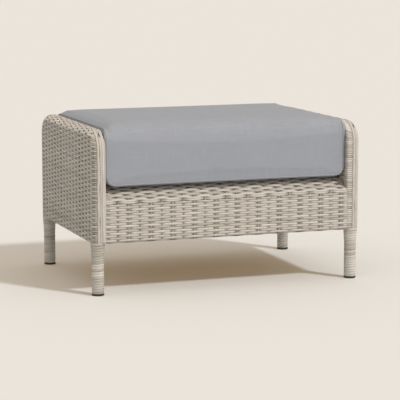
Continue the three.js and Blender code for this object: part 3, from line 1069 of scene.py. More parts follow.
@dataclass
class Apron:
    """Woven apron: rows from the deck over the ledge, down the face and round the lower rail.

    It is laid out for the rear, and the front one is the same turned by half a turn. On the ledge the
    rows lie in pairs. Sizes whose names end in from or to are counted from the ledge's edge.
    """

    sizes: BodySizes
    row: Row
    rng: Rng
    first_stake: float = -0.337
    stake_pitch: float = 0.0314
    stake_count: int = 22
    stake_margin: float = 0.004
    stake_segments: int = 64
    stake_tone: ToneRange = ToneRange(0.55, 0.12, high=0.95)
    row_tone: ToneRange = ToneRange(0.55, 0.14, low=0.08, high=0.95)
    amplitude: float = 0.0021
    middle_depth: float = 0.0031
    height_spread: float = 0.07
    place_spread: float = 0.00012
    deck_gap: float = 0.0005
    pair_pitch: float = 0.01095
    pair_split: float = 0.0027
    pair_count: int = 9
    last_pair: float = 0.0068
    row_pitch: float = 0.00643
    first_row: float = 0.0157
    steps_per_stake: int = 12
    face_from: float = 0.012
    long_from: float = 0.003
    ledge_shade_to: float = 0.006
    face_dip: float = 0.0140
    ledge_dip: float = 0.0200
    ledge_rest: float = 0.3
    pair_swell: float = 0.12
    ledge_painted_light: float = 0.20
    face_shade: float = 0.14
    face_stake_shade: float = 0.5
    ledge_stake_shade: float = 0.8
    stake_strengths: tuple[float, ...] = (0.9, 0.42)
    ledge_strengths: tuple[float, ...] = (0.72, 0.62)
    row_cut: StrandCut = StrandCut(width=0.0063)
    pair_share: float = 0.86
    stake_cut: StrandCut = StrandCut(width=0.0054, thickness=0.0014)
    end_fade: float = 0.016
    end_level: float = -0.2
    face_reach: float = 0.3610

    def __post_init__(self) -> None:
        """Lays out the section that the rows follow."""
        sizes = self.sizes
        top = sizes.seat - sizes.ledge_drop
        corners = [
            (sizes.deck_edge + self.deck_gap, sizes.seat),
            (sizes.apron_face - sizes.ledge_depth, sizes.seat),
            (sizes.apron_face, top),
            (sizes.apron_face, sizes.panel_low),
            (sizes.apron_hook_y, sizes.panel_low),
            (sizes.apron_hook_y, sizes.panel_low + sizes.hook_height),
        ]
        rounds = [0, sizes.ledge_round, sizes.apron_round, sizes.apron_round, sizes.apron_round, 0]
        self.path = SectionPath(corners, rounds)
        self.edge = self.path.corner_lengths[1]

    def in_place(self, along: Array, place: Array, offset: Array) -> Array:
        """Puts points on the apron.

        Args:
            along: Their places along the apron.
            place: Their lengths along the section.
            offset: How far they stand out from the surface.

        Returns:
            The points in place.
        """
        section, outwards = self.path.at(place)
        y, z = (section + outwards * offset[:, None]).T
        turn = self.row.value
        return np.stack([turn * along, turn * y, z], 1)

    def row_places(self) -> list[tuple[float, float, int]]:
        """Lists the rows, single ones on the face and pairs of them on the ledge.

        Returns:
            For each row where its unit lies along the section, its shift from there, and the unit.
        """
        places = []
        for unit in range(self.pair_count):
            middle = self.edge + self.last_pair - (self.pair_count - 1 - unit) * self.pair_pitch
            places += [(middle, -self.pair_split, unit), (middle, self.pair_split, unit)]
        place, unit = self.edge + self.first_row, self.pair_count
        while place < self.path.length - self.row_cut.width / 2:
            places.append((place, 0.0, unit))
            place += self.row_pitch
            unit += 1
        return [row for row in places if row[0] + row[1] > self.row_cut.width / 2]

    def rows(self) -> None:
        """Weaves the rows."""
        sheet = StrandSheet(f"{self.row.word}_apron_rows", self.row_cut)
        places = self.row_places()
        for middle, shift, _ in places:
            reach = self.face_reach if middle + shift > self.edge + self.long_from else self.sizes.deck_x
            segments = int(2 * reach / self.stake_pitch * self.steps_per_stake)
            # Painted light: the pairs on the ledge get a lighter tone, to make up for the shade that the
            # cushion casts there.
            lift = self.ledge_painted_light if middle < self.edge + self.last_pair + self.pair_split else 0.0
            sheet.lay(-reach, reach, segments, self.row_tone.draw(self.rng, lift))
        flat = sheet.flat()
        middles = np.array([row[0] for row in places])
        middles += self.rng.normal(0, self.place_spread, len(places))
        shifts = np.array([row[1] for row in places])[flat.number]
        turned = np.array([1 - 2 * (row[2] % 2) for row in places])
        lift = 1 + self.rng.normal(0, self.height_spread, len(places))
        on_face = middles[flat.number] > self.edge + self.face_from
        grid = (self.first_stake, self.stake_pitch)
        shapes = (
            Crossing(*grid, self.face_dip, strengths=self.stake_strengths),
            Crossing(*grid, self.ledge_dip, self.ledge_rest, self.pair_swell, self.ledge_strengths),
        )
        presses = [shape.press(flat.along, turned[flat.number]) for shape in shapes]
        levels = [shape.level(press) for shape, press in zip(shapes, presses)]
        spreads = [shape.spread(press) for shape, press in zip(shapes, presses)]
        press = np.where(on_face, *presses)
        spread = np.where(on_face, *spreads)
        width = np.where(on_face, flat.across, flat.across * self.pair_share)
        long_row = middles[flat.number] + shifts > self.edge + self.long_from
        reach = np.where(long_row, self.face_reach, self.sizes.deck_x)
        hold = smooth_step((reach - np.abs(flat.along)) / self.end_fade)
        level = np.where(on_face, *levels) * hold + self.end_level * (1 - hold)
        offset = self.amplitude * lift[flat.number] * level - self.middle_depth + flat.rise
        points = self.in_place(flat.along, middles[flat.number] + (shifts + width) * spread, offset)
        # Painted shade where a row dips under a stake, fainter on the face by face_shade.
        painted_shade = np.maximum(-press, 0) * hold * np.where(on_face, self.face_shade, 1.0)
        piece = sheet.finish(flat, points, painted_shade)
        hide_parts(f"{self.row.word}_apron_weave")

    def stakes(self) -> None:
        """Lays the stakes that the rows pass over and under."""
        sheet = StrandSheet(f"{self.row.word}_apron_stakes", self.stake_cut)
        ends = (self.stake_margin, self.path.length - self.stake_margin)
        sheet.lay_alike(self.stake_count, ends, self.stake_segments, self.stake_tone, self.rng)
        flat = sheet.flat()
        middles = self.first_stake + self.stake_pitch * np.arange(self.stake_count)
        offset = flat.rise - self.middle_depth + self.stake_cut.thickness / 2 - self.stake_cut.crown / 2
        points = self.in_place(middles[flat.number] - flat.across, flat.along, offset)
        # Painted shade all along each stake, darker on the ledge than on the face.
        on_ledge = flat.along < self.edge + self.ledge_shade_to
        shade = np.where(on_ledge, self.ledge_stake_shade, self.face_stake_shade)
        sheet.finish(flat, points, shade)

    def build(self) -> None:
        """Builds the apron."""
        self.rows()
        self.stakes()


@dataclass
class SidePanel:
    """Raised side panel: woven faces round a bent hoop, with strands along its narrow edge.

    The strengths say how hard each stake presses on a face's rows, from left to right as one looks at
    that face.
    """

    sizes: BodySizes
    side: Side
    rng: Rng
    edge_shift: float
    inner_round: float
    edge_tones: tuple[float, ...] = (0.65, 0.56, 0.72, 0.65)
    outer_tone: ToneRange = ToneRange(0.50, 0.06, low=0.2, high=0.98)
    # Painted light: the inner face's rows are drawn lighter than the outer face's, to make up for the shade
    # beside the cushion.
    inner_tone: ToneRange = ToneRange(0.70, 0.13, low=0.2, high=0.98)
    stake_tone: ToneRange = ToneRange(0.48, 0.10)
    stake_shade: float = 0.8
    rim_lift: float = 0.46
    rim_height: float = 0.010
    rim_overlap: float = 0.003
    row_pitch: float = 0.00604
    stake_pitch: float = 0.0315
    stake_count: int = 16
    stake_segments: int = 140
    stake_margin: float = 0.004
    band_slope: float = 0.006
    band_gap: float = 0.0007
    steps_per_stake: int = 10
    least_segments: int = 8
    row_dip: float = 0.0118
    edge_dip: float = 0.0100
    amplitude: float = 0.0021
    middle_depth: float = 0.0031
    height_spread: float = 0.05
    row_cut: StrandCut = StrandCut(width=0.0059)
    stake_cut: StrandCut = StrandCut(width=0.0050, thickness=0.0014)
    edge_cut: StrandCut = StrandCut(width=0.0072, crown=0.0003)
    edge_pitch: float = 0.0070
    edge_margin: float = 0.0005
    edge_segments: int = 400
    edge_amplitude: float = 0.0017
    edge_rest: float = 0.95
    edge_swell: float = 0.1
    edge_shade: float = 0.4
    edge_wander: float = 0.0004
    wander_rates: tuple[float, float] = (61.0, 143.0)
    second_wander: float = 0.6
    usual_width: float = 0.98
    width_spread: float = 0.04
    width_rate: float = 97.0
    woven_past_bend: float = 0.044
    woven_fade: float = 0.02
    end_level: float = 0.9
    end_fade: float = 0.016
    end_hold: float = 0.35
    end_squeeze: float = 0.07
    end_sway: float = 0.25
    least_sway: float = 0.2
    outer_strengths: tuple[float, ...] = (
        0.8, 0.7, 0.55, 0.8, 1.0, 0.6, 0.95, 0.55, 0.5, 0.5, 0.5, 0.6, 1.0, 0.9, 0.95, 0.7
    )
    inner_strengths: tuple[float, ...] = (
        0.1, 0.8, 0.7, 0.9, 0.65, 0.8, 0.95, 0.7, 0.85, 0.7, 0.9, 0.75, 0.85, 0.7, 0.8, 0.3
    )
    leg_clearance: float = 0.0195
    stake_turn: float = 0.004
    sole_share: float = 0.6
    rim_share: float = 0.9999

    def __post_init__(self) -> None:
        """Works out the bend's place, the sole and the first stake."""
        sizes = self.sizes
        self.bend_y = sizes.post_y - sizes.hoop_bend
        self.bend_z = sizes.hoop_top - sizes.hoop_bend
        self.band_half = len(self.edge_tones) * self.edge_pitch / 2
        self.sole = sizes.panel_low + sizes.sole_round
        self.sole_length = sizes.sole_round * math.pi / 2
        self.stake_first = -self.stake_pitch * (self.stake_count - 1) / 2

    def edge(self, face: Face) -> EdgeRound:
        """Works out the round that leads from one of the panel's faces to its narrow edge.

        Args:
            face: Which face.

        Returns:
            The round.
        """
        radius = self.sizes.outer_round if face is Face.OUTER else self.inner_round
        fullness = 0.0 if face is Face.OUTER else self.sizes.inner_fullness
        flat = self.sizes.panel_half - radius
        return EdgeRound(flat + fullness, flat, radius)

    def rim(self, face: Face) -> float:
        """Length along the section from the hoop's centre line to where a face's rows end."""
        shift = face.value * self.edge_shift - self.rim_overlap
        return self.edge(face).length - self.band_half - shift

    def foot_inset(self, z: Array) -> Array:
        """Works out how far the panel's front and rear outline draws in near its foot.

        Args:
            z: Heights.

        Returns:
            The inset at each of them.
        """
        foot = self.sizes.foot_round
        below = np.clip(self.sizes.panel_low + foot - z, 0, foot)
        return foot - np.sqrt(foot * foot - below * below)

    def outward(self, y: Array, z: Array) -> tuple[Array, Array, Array]:
        """Measures places against the hoop's centre line.

        Args:
            y: The places' Y.
            z: Their heights.

        Returns:
            The distance outwards from the line, and the outward direction's Y and Z.
        """
        past_y = np.abs(y) - self.bend_y
        past_z = z - self.bend_z
        corner_y, corner_z = np.maximum(past_y, 0), np.maximum(past_z, 0)
        reach = np.hypot(corner_y, corner_z)
        distance = reach - self.sizes.hoop_bend + np.minimum(np.maximum(past_y, past_z), 0)
        safe = np.maximum(reach, TINY)
        inside_y = np.where(past_y > past_z, 1.0, 0.0)
        out_y = np.where(reach > 0, corner_y / safe, inside_y) * np.sign(y)
        out_z = np.where(reach > 0, corner_z / safe, 1 - inside_y)
        return distance, out_y, out_z

    def face_points(self, face: Face, y: Array, climb: Array, offset: Array) -> Array:
        """Wraps points of a flat sheet over one of the panel's faces, its sole and its narrow edge.

        Args:
            face: Which face.
            y: The points' place to the front or rear on the sheet.
            climb: Their height on the sheet.
            offset: How far they stand out from the surface.

        Returns:
            The points in place.
        """
        sizes, edge = self.sizes, self.edge(face)
        angle = np.clip((self.sole - climb) / sizes.sole_round, 0, math.pi / 2)
        under = np.maximum(self.sole - self.sole_length - climb, 0)
        height = np.maximum(climb, self.sole)
        length, out_y, out_z = self.outward(y, height)
        past = length - edge.outwards + self.foot_inset(height - sizes.sole_round * np.sin(angle))
        turn = np.clip(past / edge.radius, 0, math.pi / 2)
        over = np.maximum(past - edge.radius * math.pi / 2, 0)
        shift = edge.radius * np.sin(turn) - np.maximum(past, 0) + offset * np.sin(turn)
        lateral = edge.sideways + edge.radius * np.cos(turn) - over
        lateral += offset * np.cos(turn) * np.cos(angle) - sizes.sole_round * (1 - np.cos(angle)) - under
        z = height + out_z * shift - (sizes.sole_round + offset) * np.sin(angle)
        x = self.side.value * (sizes.post_x + face.value * lateral)
        return np.stack([x, y + out_y * shift, z], 1)

    def row_reach(self, face: Face, climb: float) -> float:
        """Works out how far a row reaches to the front and the rear on the flat sheet.

        Args:
            face: Which face it is on.
            climb: Its height on the sheet.

        Returns:
            Its reach.
        """
        sizes = self.sizes
        if climb < self.sole - self.sole_length * self.sole_share:
            return sizes.post_y - self.leg_clearance
        rim = self.rim(face)
        if climb <= self.bend_z:
            return sizes.post_y + rim - float(self.foot_inset(np.array([climb]))[0])
        outer = sizes.hoop_bend + rim
        rise = min(climb - self.bend_z, outer * self.rim_share)
        return self.bend_y + math.sqrt(outer * outer - rise * rise)

    def rows(self, face: Face) -> Object:
        """Weaves the rows of one face, from the sole's middle up to the top rail.

        Args:
            face: Which face.

        Returns:
            The rows as one piece.
        """
        sizes = self.sizes
        outside = face is Face.OUTER
        tones, strengths = (
            (self.outer_tone, self.outer_strengths) if outside else (self.inner_tone, self.inner_strengths)
        )
        sheet = StrandSheet(f"{self.side.word}_panel_{face.word}_rows", self.row_cut)
        lowest = self.sole - self.sole_length - (sizes.panel_half - sizes.sole_round)
        highest = sizes.hoop_top + self.rim(face)
        count = int((highest - lowest) / self.row_pitch)
        climbs = highest - self.row_pitch * (np.arange(count) + 0.5)
        reaches = np.array([self.row_reach(face, float(climb)) for climb in climbs])
        for climb, reach in zip(climbs, reaches):
            segments = int(2 * reach / self.stake_pitch * self.steps_per_stake)
            # Painted light: rows near the top rail get a lighter tone, for the light that falls on the top
            # and to make up for the painted shade there.
            lift = self.rim_lift * float(smooth_step((climb - sizes.hoop_top) / self.rim_height))
            sheet.lay(-reach, reach, max(segments, self.least_segments), tones.draw(self.rng, lift))
        flat = sheet.flat()
        number = flat.number
        turned = by_turns(count)
        lift = 1 + self.rng.normal(0, self.height_spread, count)
        crossing = Crossing(self.stake_first, self.stake_pitch, self.row_dip, strengths=strengths)
        press = crossing.press(flat.along, turned[number])
        hold = smooth_step((reaches[number] - np.abs(flat.along)) / self.end_fade - self.end_hold)
        sway = self.rng.uniform(self.least_sway, 1, count)[number]
        ends = self.end_level + self.end_sway * (turned[number] - 1) * sway
        level = crossing.level(press) * hold + ends * (1 - hold)
        offset = self.amplitude * lift[number] * level - self.middle_depth + flat.rise
        spread = crossing.spread(press * hold) * (1 - self.end_squeeze * (1 - hold))
        y = self.side.value * face.value * flat.along
        points = self.face_points(face, y, climbs[number] + flat.across * spread, offset)
        # Painted shade where a row dips under a stake.
        return sheet.finish(flat, points, np.maximum(-press, 0) * hold)

    def over_edge(self, across: Array, offset: Array) -> tuple[Array, Array]:
        """Follows the section over the narrow edge.

        Args:
            across: Length along the section from the panel's middle, positive towards +X.
            offset: How far the points stand out from the surface.

        Returns:
            How far the points lie towards +X, and how far outwards from the hoop's centre line.
        """
        outer, inner = (self.edge(face) for face in Face)
        on_outer = across * self.side.value > 0
        flat = np.where(on_outer, outer.sideways, inner.sideways)
        radius = np.where(on_outer, outer.radius, inner.radius)
        reach = np.abs(across)
        turn = np.clip((reach - flat) / radius, 0, math.pi / 2)
        down = np.maximum(reach - flat - radius * math.pi / 2, 0)
        lateral = np.minimum(reach, flat) + (radius + offset) * np.sin(turn)
        out = self.sizes.panel_half - radius + (radius + offset) * np.cos(turn) - down
        return np.sign(across) * lateral, out

    def stakes(self) -> None:
        """Lays the stakes over the top rail and down both faces."""
        sizes = self.sizes
        sheet = StrandSheet(f"{self.side.word}_panel_stakes", self.stake_cut)
        drop = sizes.hoop_top - sizes.panel_low - self.stake_margin
        left, right = (Face.OUTER, Face.INNER) if self.side is Side.LEFT else (Face.INNER, Face.OUTER)
        ends = (-self.edge(left).length - drop, self.edge(right).length + drop)
        sheet.lay_alike(self.stake_count, ends, self.stake_segments, self.stake_tone, self.rng)
        flat = sheet.flat()
        middles = self.stake_first + self.stake_pitch * np.arange(self.stake_count)
        off_band = np.abs(flat.along - self.side.value * self.edge_shift) - self.band_half
        high = smooth_step(1 - off_band / self.band_slope)
        depth = self.middle_depth - self.stake_cut.thickness / 2 + self.stake_cut.crown / 2 - flat.rise
        depth -= high * (self.middle_depth - self.edge_amplitude - self.band_gap)
        lateral, out = self.over_edge(flat.along, -depth)
        y = middles[flat.number] + flat.across
        past = np.maximum(np.abs(y) - self.bend_y, 0)
        reach = np.maximum(sizes.hoop_bend + out, past + self.stake_turn)
        straight = self.bend_z + sizes.hoop_bend + out
        share = np.clip((straight - sizes.panel_low) / (self.bend_z - sizes.panel_low), 0, 1)
        z = straight - (reach - np.sqrt(reach * reach - past * past)) * share
        points = np.stack([self.side.value * sizes.post_x + lateral, y, z], 1)
        # Painted shade at stake_shade all along each stake, for where it lies under the rows.
        sheet.finish(flat, points, np.full(len(points), self.stake_shade))

    def edge_points(self, along: Array, across: Array, offset: Array) -> Array:
        """Puts points on the panel's narrow edge.

        Args:
            along: Length along the hoop's centre line, 0 at the middle of the top.
            across: Length across the narrow edge, 0 at the middle of the edge strands.
            offset: How far they stand out from the surface.

        Returns:
            The points in place.
        """
        sizes = self.sizes
        lateral, out = self.over_edge(across + self.side.value * self.edge_shift, offset)
        reach = np.abs(along)
        turn = np.clip((reach - self.bend_y) / sizes.hoop_bend, 0, math.pi / 2)
        down = np.maximum(reach - self.bend_y - sizes.hoop_bend * math.pi / 2, 0)
        line_y = np.minimum(reach, self.bend_y) + sizes.hoop_bend * np.sin(turn)
        line_z = self.bend_z + sizes.hoop_bend * np.cos(turn) - down
        out = out - self.foot_inset(line_z)
        y = (line_y + out * np.sin(turn)) * np.sign(along)
        return np.stack([self.side.value * sizes.post_x + lateral, y, line_z + out * np.cos(turn)], 1)

    def edge_strands(self) -> None:
        """Lays the strands that run up the front, over the top rail and down the rear."""
        sizes = self.sizes
        sheet = StrandSheet(f"{self.side.word}_panel_edge_strands", self.edge_cut)
        half = self.bend_y + sizes.hoop_bend * math.pi / 2 + self.bend_z - sizes.panel_low
        half -= self.edge_margin
        count = len(self.edge_tones)
        for tone in self.edge_tones:
            sheet.lay(-half, half, self.edge_segments, tone)
        flat = sheet.flat()
        crossing = Crossing(
            self.stake_first, self.stake_pitch, self.edge_dip, self.edge_rest, self.edge_swell
        )
        woven = smooth_step((self.bend_y + self.woven_past_bend - np.abs(flat.along)) / self.woven_fade)
        press = crossing.press(flat.along, by_turns(count)[flat.number]) * woven
        phase = self.rng.uniform(0, math.tau, (3, count))[:, flat.number]
        first, second = (np.sin(flat.along * rate + start) for rate, start in zip(self.wander_rates, phase))
        sway = first + self.second_wander * second
        unevenness = self.usual_width + self.width_spread * np.sin(flat.along * self.width_rate + phase[2])
        width = crossing.spread(press) * unevenness
        offset = flat.rise - self.edge_cut.crown - self.edge_amplitude * (1 - crossing.level(press))
        centre = evenly(count, self.edge_pitch)[flat.number]
        across = centre + self.edge_wander * sway - flat.across * width
        points = self.edge_points(flat.along, across, offset)
        # Painted shade where an edge strand dips under a stake.
        sheet.finish(flat, points, np.maximum(-press, 0) * self.edge_shade)

    def build(self) -> None:
        """Builds the panel."""
        outer = self.rows(Face.OUTER)
        self.rows(Face.INNER)
        self.stakes()
        self.edge_strands()
        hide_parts(f"{self.side.word}_panel_weave")


@dataclass
class Deck:
    """Woven seat deck under the cushion."""

    sizes: BodySizes
    rng: Rng
    row_pitch: float = 0.0068
    stake_pitch: float = 0.0314
    row_segments: int = 180
    stake_segments: int = 8
    row_tone: ToneRange = ToneRange(0.50, 0.17, low=0.08, high=0.95)
    stake_tone: ToneRange = ToneRange(0.50, 0.12)
    stake_shade: float = 0.35
    amplitude: float = 0.0017
    middle_depth: float = 0.0031
    row_dip: float = 0.0135
    row_cut: StrandCut = StrandCut(width=0.0066)
    stake_cut: StrandCut = StrandCut(width=0.0060, thickness=0.0014)

    def rows(self) -> None:
        """Weaves the rows, which run from side to side."""
        sizes = self.sizes
        sheet = StrandSheet("deck_rows", self.row_cut)
        count = int(2 * sizes.deck_edge / self.row_pitch)
        ends = (-sizes.deck_x, sizes.deck_x)
        sheet.lay_alike(count, ends, self.row_segments, self.row_tone, self.rng)
        flat = sheet.flat()
        crossing = Crossing(0.0, self.stake_pitch, self.row_dip)
        press = crossing.press(flat.along, by_turns(count)[flat.number])
        y = evenly(count, self.row_pitch)[flat.number] + flat.across * crossing.spread(press)
        z = sizes.seat - self.middle_depth + self.amplitude * crossing.level(press) + flat.rise
        # Painted shade where a row dips under a stake.
        piece = sheet.finish(flat, np.stack([flat.along, y, z], 1), np.maximum(-press, 0))
        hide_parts("deck_weave")

    def stakes(self) -> None:
        """Lays the stakes, which run from the front to the rear."""
        sizes = self.sizes
        sheet = StrandSheet("deck_stakes", self.stake_cut)
        count = 2 * int(sizes.deck_x / self.stake_pitch) + 1
        ends = (-sizes.deck_edge, sizes.deck_edge)
        sheet.lay_alike(count, ends, self.stake_segments, self.stake_tone, self.rng)
        flat = sheet.flat()
        places = evenly(count, self.stake_pitch)
        z = sizes.seat - self.middle_depth + self.stake_cut.thickness / 2 + flat.rise
        points = np.stack([places[flat.number] - flat.across, flat.along, z], 1)
        # Painted shade at stake_shade all along each stake.
        sheet.finish(flat, points, np.full(len(points), self.stake_shade))

    def build(self) -> None:
        """Builds the deck."""
        self.rows()
        self.stakes()


@dataclass
class Leg:
    """One leg below the woven body: its strand winding and its foot cap."""

    side: Side
    row: Row
    rng: Rng
    bands: tuple[tuple[float, float], ...]
    turns: int = 20
    steps_per_turn: int = 30
    cut: StrandCut = StrandCut(width=0.0071, thickness=0.0014, crown=0.00022)
    skin: float = 0.0003
    tuck: float = 0.0008
    tuck_turns: float = 0.15
    flare: float = 0.0027
    flare_height: float = 0.050
    flare_power: float = 1.3
    overrun: float = 0.0045
    tone_spread: float = 0.035
    tone_limits: tuple[float, float] = (0.05, 0.98)

    def tone_at(self, turn: Array) -> Array:
        """The winding's tone, from bands that are counted from the top.

        Args:
            turn: How many turns up from the foot.

        Returns:
            The tone there.
        """
        from_top = self.turns - turn
        tone = np.full(len(turn), self.bands[-1][1])
        end = sum(length for length, _ in self.bands)
        for length, level in reversed(self.bands):
            tone = np.where(from_top < end, level, tone)
            end -= length
        jitter = self.rng.normal(0, self.tone_spread, self.turns + 2)
        return np.clip(tone + jitter[np.clip(turn, 0, self.turns).astype(int)], *self.tone_limits)

    def build(self) -> None:
        """Winds the strand round the leg, and dresses the foot cap."""
        name = f"{self.row.word}_{self.side.word}"
        low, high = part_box(f"{name}_leg_winding")
        cap_low, cap_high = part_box(f"{name}_foot_cap")
        centre = (cap_low + cap_high) / 2
        radius = (cap_high.x - cap_low.x) / 2 - self.skin - self.cut.crown
        sheet = StrandSheet(f"{name}_leg_strand", self.cut)
        around = math.tau * radius
        sheet.lay(0, (self.turns + 1) * around, (self.turns + 1) * self.steps_per_turn)
        flat = sheet.flat()
        turn = flat.along / around
        angle = turn * math.tau
        climbed = np.clip(turn - 1, 0, self.turns - 1)
        rise = (high.z + self.overrun - low.z - self.cut.width) / (self.turns - 1)
        z = low.z + self.cut.width / 2 + climbed * rise + flat.across
        tucked = smooth_step((1 + self.tuck_turns - turn) / self.tuck_turns)
        swell = np.clip(1 - (high.z - z) / self.flare_height, 0, 1) ** self.flare_power
        reach = radius + flat.rise - self.tuck * tucked + self.flare * swell
        points = np.stack([centre.x + reach * np.cos(angle), centre.y + reach * np.sin(angle), z], 1)
        piece = sheet.finish(flat, points, np.zeros(len(points)), self.tone_at(climbed))
        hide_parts(f"{name}_leg_winding")
        dress(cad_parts[f"{name}_foot_cap"], PLASTIC.material())


def thread_directions(mesh: Mesh) -> None:
    """Stores each corner's place along the cloth's warp and weft, as the cover is cut.

    Args:
        mesh: The cloth's mesh.
    """
    faces = np.empty(len(mesh.loops), int)
    for polygon in mesh.polygons:
        faces[polygon.loop_start : polygon.loop_start + polygon.loop_total] = polygon.index
    normals = np.empty(len(mesh.polygons) * 3)
    mesh.polygons.foreach_get("normal", normals)
    normals = normals.reshape(-1, 3)[faces]
    vertices = np.empty(len(mesh.loops), int)
    mesh.loops.foreach_get("vertex_index", vertices)
    x, y, z = points_of(mesh)[vertices].T
    on_end = np.abs(normals[:, 0]) > END_FACING
    along = np.where(on_end, y, x)
    across = np.where(on_end, z, np.abs(y) + z)
    cloth = mesh.attributes.new(CLOTH_ATTRIBUTE, "FLOAT_VECTOR", "CORNER")
    cloth.data.foreach_set("vector", np.stack([along, across, on_end * 1.0], 1).ravel())


@dataclass
class Cushion:
    """Loose padded cushion: its canvas cover, its foam and its seams.

    What lies higher than calm_from, and further in than calm_margin from both ends, is smoothed further.
    """

    crown: float = 0.009
    draw_in: float = 0.003
    end_swell: float = 0.0019
    front_swell: float = 0.0040
    top_round: float = 0.038
    left_top_round: float = 0.004
    right_top_round: float = 0.017
    left_bottom_round: float = 0.034
    right_bottom_round: float = 0.030
    bottom_round: float = 0.007
    upright_round: float = 0.003
    round_segments: int = 8
    end_flatness: float = 10
    front_flatness: float = 2.2
    left_droop: float = 0.0080
    droop_from: float = 0.92
    droop_width: float = 0.08
    belly_share: float = 0.5
    side_power: int = 4
    corner_fill: float = 0.006
    corner_from: float = 0.93
    corner_width: float = 0.07
    fill_from: float = 0.015
    smooth_rounds: int = 2
    smooth_factor: float = 0.5
    calm_margin: float = 0.030
    calm_from: float = 0.080
    calm_rounds: int = 16
    skin_margin: float = 0.0003
    deck_margin: float = 0.0002
    voxel: float = 0.0045
    pressure: float = 4.0
    cloth_mass: float = 0.4
    cloth_stiffness: float = 40.0
    cloth_bending: float = 3.0
    frames: int = 20
    puff_cap: float = 0.0025
    foam_gap: float = 0.004
    seam_inset: float = 0.0055
    seam_rise: float = 0.0070
    seam_depth: float = 0.0021
    seam_sink: float = 0.15
    seam_facets: int = 2
    section_power: int = 8
    section_points: int = 220
    bottom_points: int = 140

    def __post_init__(self) -> None:
        """Reads the cushion's space off the frame."""
        self.low, self.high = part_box("cushion_cover")
        self.low -= Vector((self.end_swell, self.front_swell, 0))
        self.high += Vector((self.end_swell, 0, 0))
        self.flat_top = self.high.z - self.crown

    def block(self) -> Mesh:
        """Models the stuffed block.

        Returns:
            A box that says how far each of its edges is rounded.
        """
        bench = bmesh.new()
        bmesh.ops.create_cube(bench, size=1.0)
        low, high = self.low, Vector((self.high.x, self.high.y, self.flat_top))
        bmesh.ops.scale(bench, vec=high - low, verts=bench.verts)
        bmesh.ops.translate(bench, vec=(high + low) / 2, verts=bench.verts)
        weights = bench.edges.layers.float.new("bevel_weight_edge")
        for edge in bench.edges:
            edge[weights] = self.edge_round(edge) / self.top_round
        return mesh_of("cushion_block", bench)

    def edge_round(self, edge: bmesh.types.BMEdge) -> float:
        """Says how one of the block's edges is rounded.

        Args:
            edge: The edge.

        Returns:
            Its radius.
        """
        first, second = (vert.co for vert in edge.verts)
        middle = (first + second) / 2
        high = middle.z > (self.low.z + self.flat_top) / 2
        if abs(first.z - second.z) > self.bottom_round:
            return self.upright_round
        if abs(first.x - second.x) > self.bottom_round:
            return self.top_round if high else self.bottom_round
        if middle.x < 0:
            return self.left_top_round if high else self.left_bottom_round
        return self.right_top_round if high else self.right_bottom_round

    def remeshed(self, mesh: Mesh) -> Object:
        """Rounds the block and rebuilds it as even quads.

        Args:
            mesh: The block.

        Returns:
            An object of its own that holds the result.
        """
        piece = link_object("cushion_canvas", mesh)
        rounds = piece.modifiers.new("rounds", "BEVEL")
        rounds.limit_method = "WEIGHT"
        rounds.width = self.top_round
        rounds.segments = self.round_segments
        voxels = piece.modifiers.new("voxels", "REMESH")
        voxels.mode = "VOXEL"
        voxels.voxel_size = self.voxel
        self.apply(piece)
        return piece

    @staticmethod
    def apply(piece: Object) -> None:
        """Makes what a piece's modifiers give its mesh, and removes them.

        Args:
            piece: The piece.
        """
        shown = piece.evaluated_get(bpy.context.evaluated_depsgraph_get())
        result = bpy.data.meshes.new_from_object(shown)
        piece.modifiers.clear()
        piece.data = result

    def swell(self, points: Array) -> Array:
        """Gives the block its crown and draws its sides in between their corners.

        Args:
            points: The block's points.

        Returns:
            The same points in place.
        """
        half = np.array([(self.high.x - self.low.x) / 2, (self.high.y - self.low.y) / 2])
        share = np.clip(np.abs(points[:, :2]) / half, 0, 1)
        height = (points[:, 2] - self.low.z) / (self.flat_top - self.low.z)
        dome = (1 - share[:, 0] ** self.end_flatness) * (1 - share[:, 1] ** self.front_flatness)
        result = points.copy()
        result[:, 2] += self.crown * dome * smooth_step(height * 2 - 1)
        left = smooth_step((-points[:, 0] / half[0] - self.droop_from) / self.droop_width)
        result[:, 2] -= self.left_droop * (left * smooth_step(height * 3 - 2))
        belly = np.clip(1 - (2 * height - 1) ** 2, 0, 1)
        for axis, other in ((0, 1), (1, 0)):
            pull = self.draw_in * (1 - share[:, other] ** 2) * share[:, axis] ** self.side_power
            result[:, axis] -= np.sign(points[:, axis]) * (pull * (1 - self.belly_share * belly))
        return result

    def simulate(self, piece: Object) -> None:
        """Lets the canvas swell under the foam's pressure, each point by no more than the cap.

        Args:
            piece: The canvas.
        """
        start = points_of(piece.data)
        cloth = piece.modifiers.new("cloth", "CLOTH")
        cloth.settings.use_pressure = True
        cloth.settings.uniform_pressure_force = self.pressure
        cloth.settings.effector_weights.gravity = 0.0
        cloth.settings.mass = self.cloth_mass
        cloth.settings.tension_stiffness = self.cloth_stiffness
        cloth.settings.compression_stiffness = self.cloth_stiffness
        cloth.settings.bending_stiffness = self.cloth_bending
        cloth.point_cache.frame_end = self.frames
        scene = bpy.context.scene
        for step in range(1, self.frames + 1):
            scene.frame_set(step)
        self.apply(piece)
        scene.frame_set(1)
        moved = points_of(piece.data) - start
        length = np.linalg.norm(moved, axis=1)
        LOG.info("cushion cloth moved %.1f mm at most", 1000 * float(length.max()))
        capped = start + moved * (np.minimum(length, self.puff_cap) / np.maximum(length, TINY))[:, None]
        piece.data.vertices.foreach_set("co", capped.ravel())

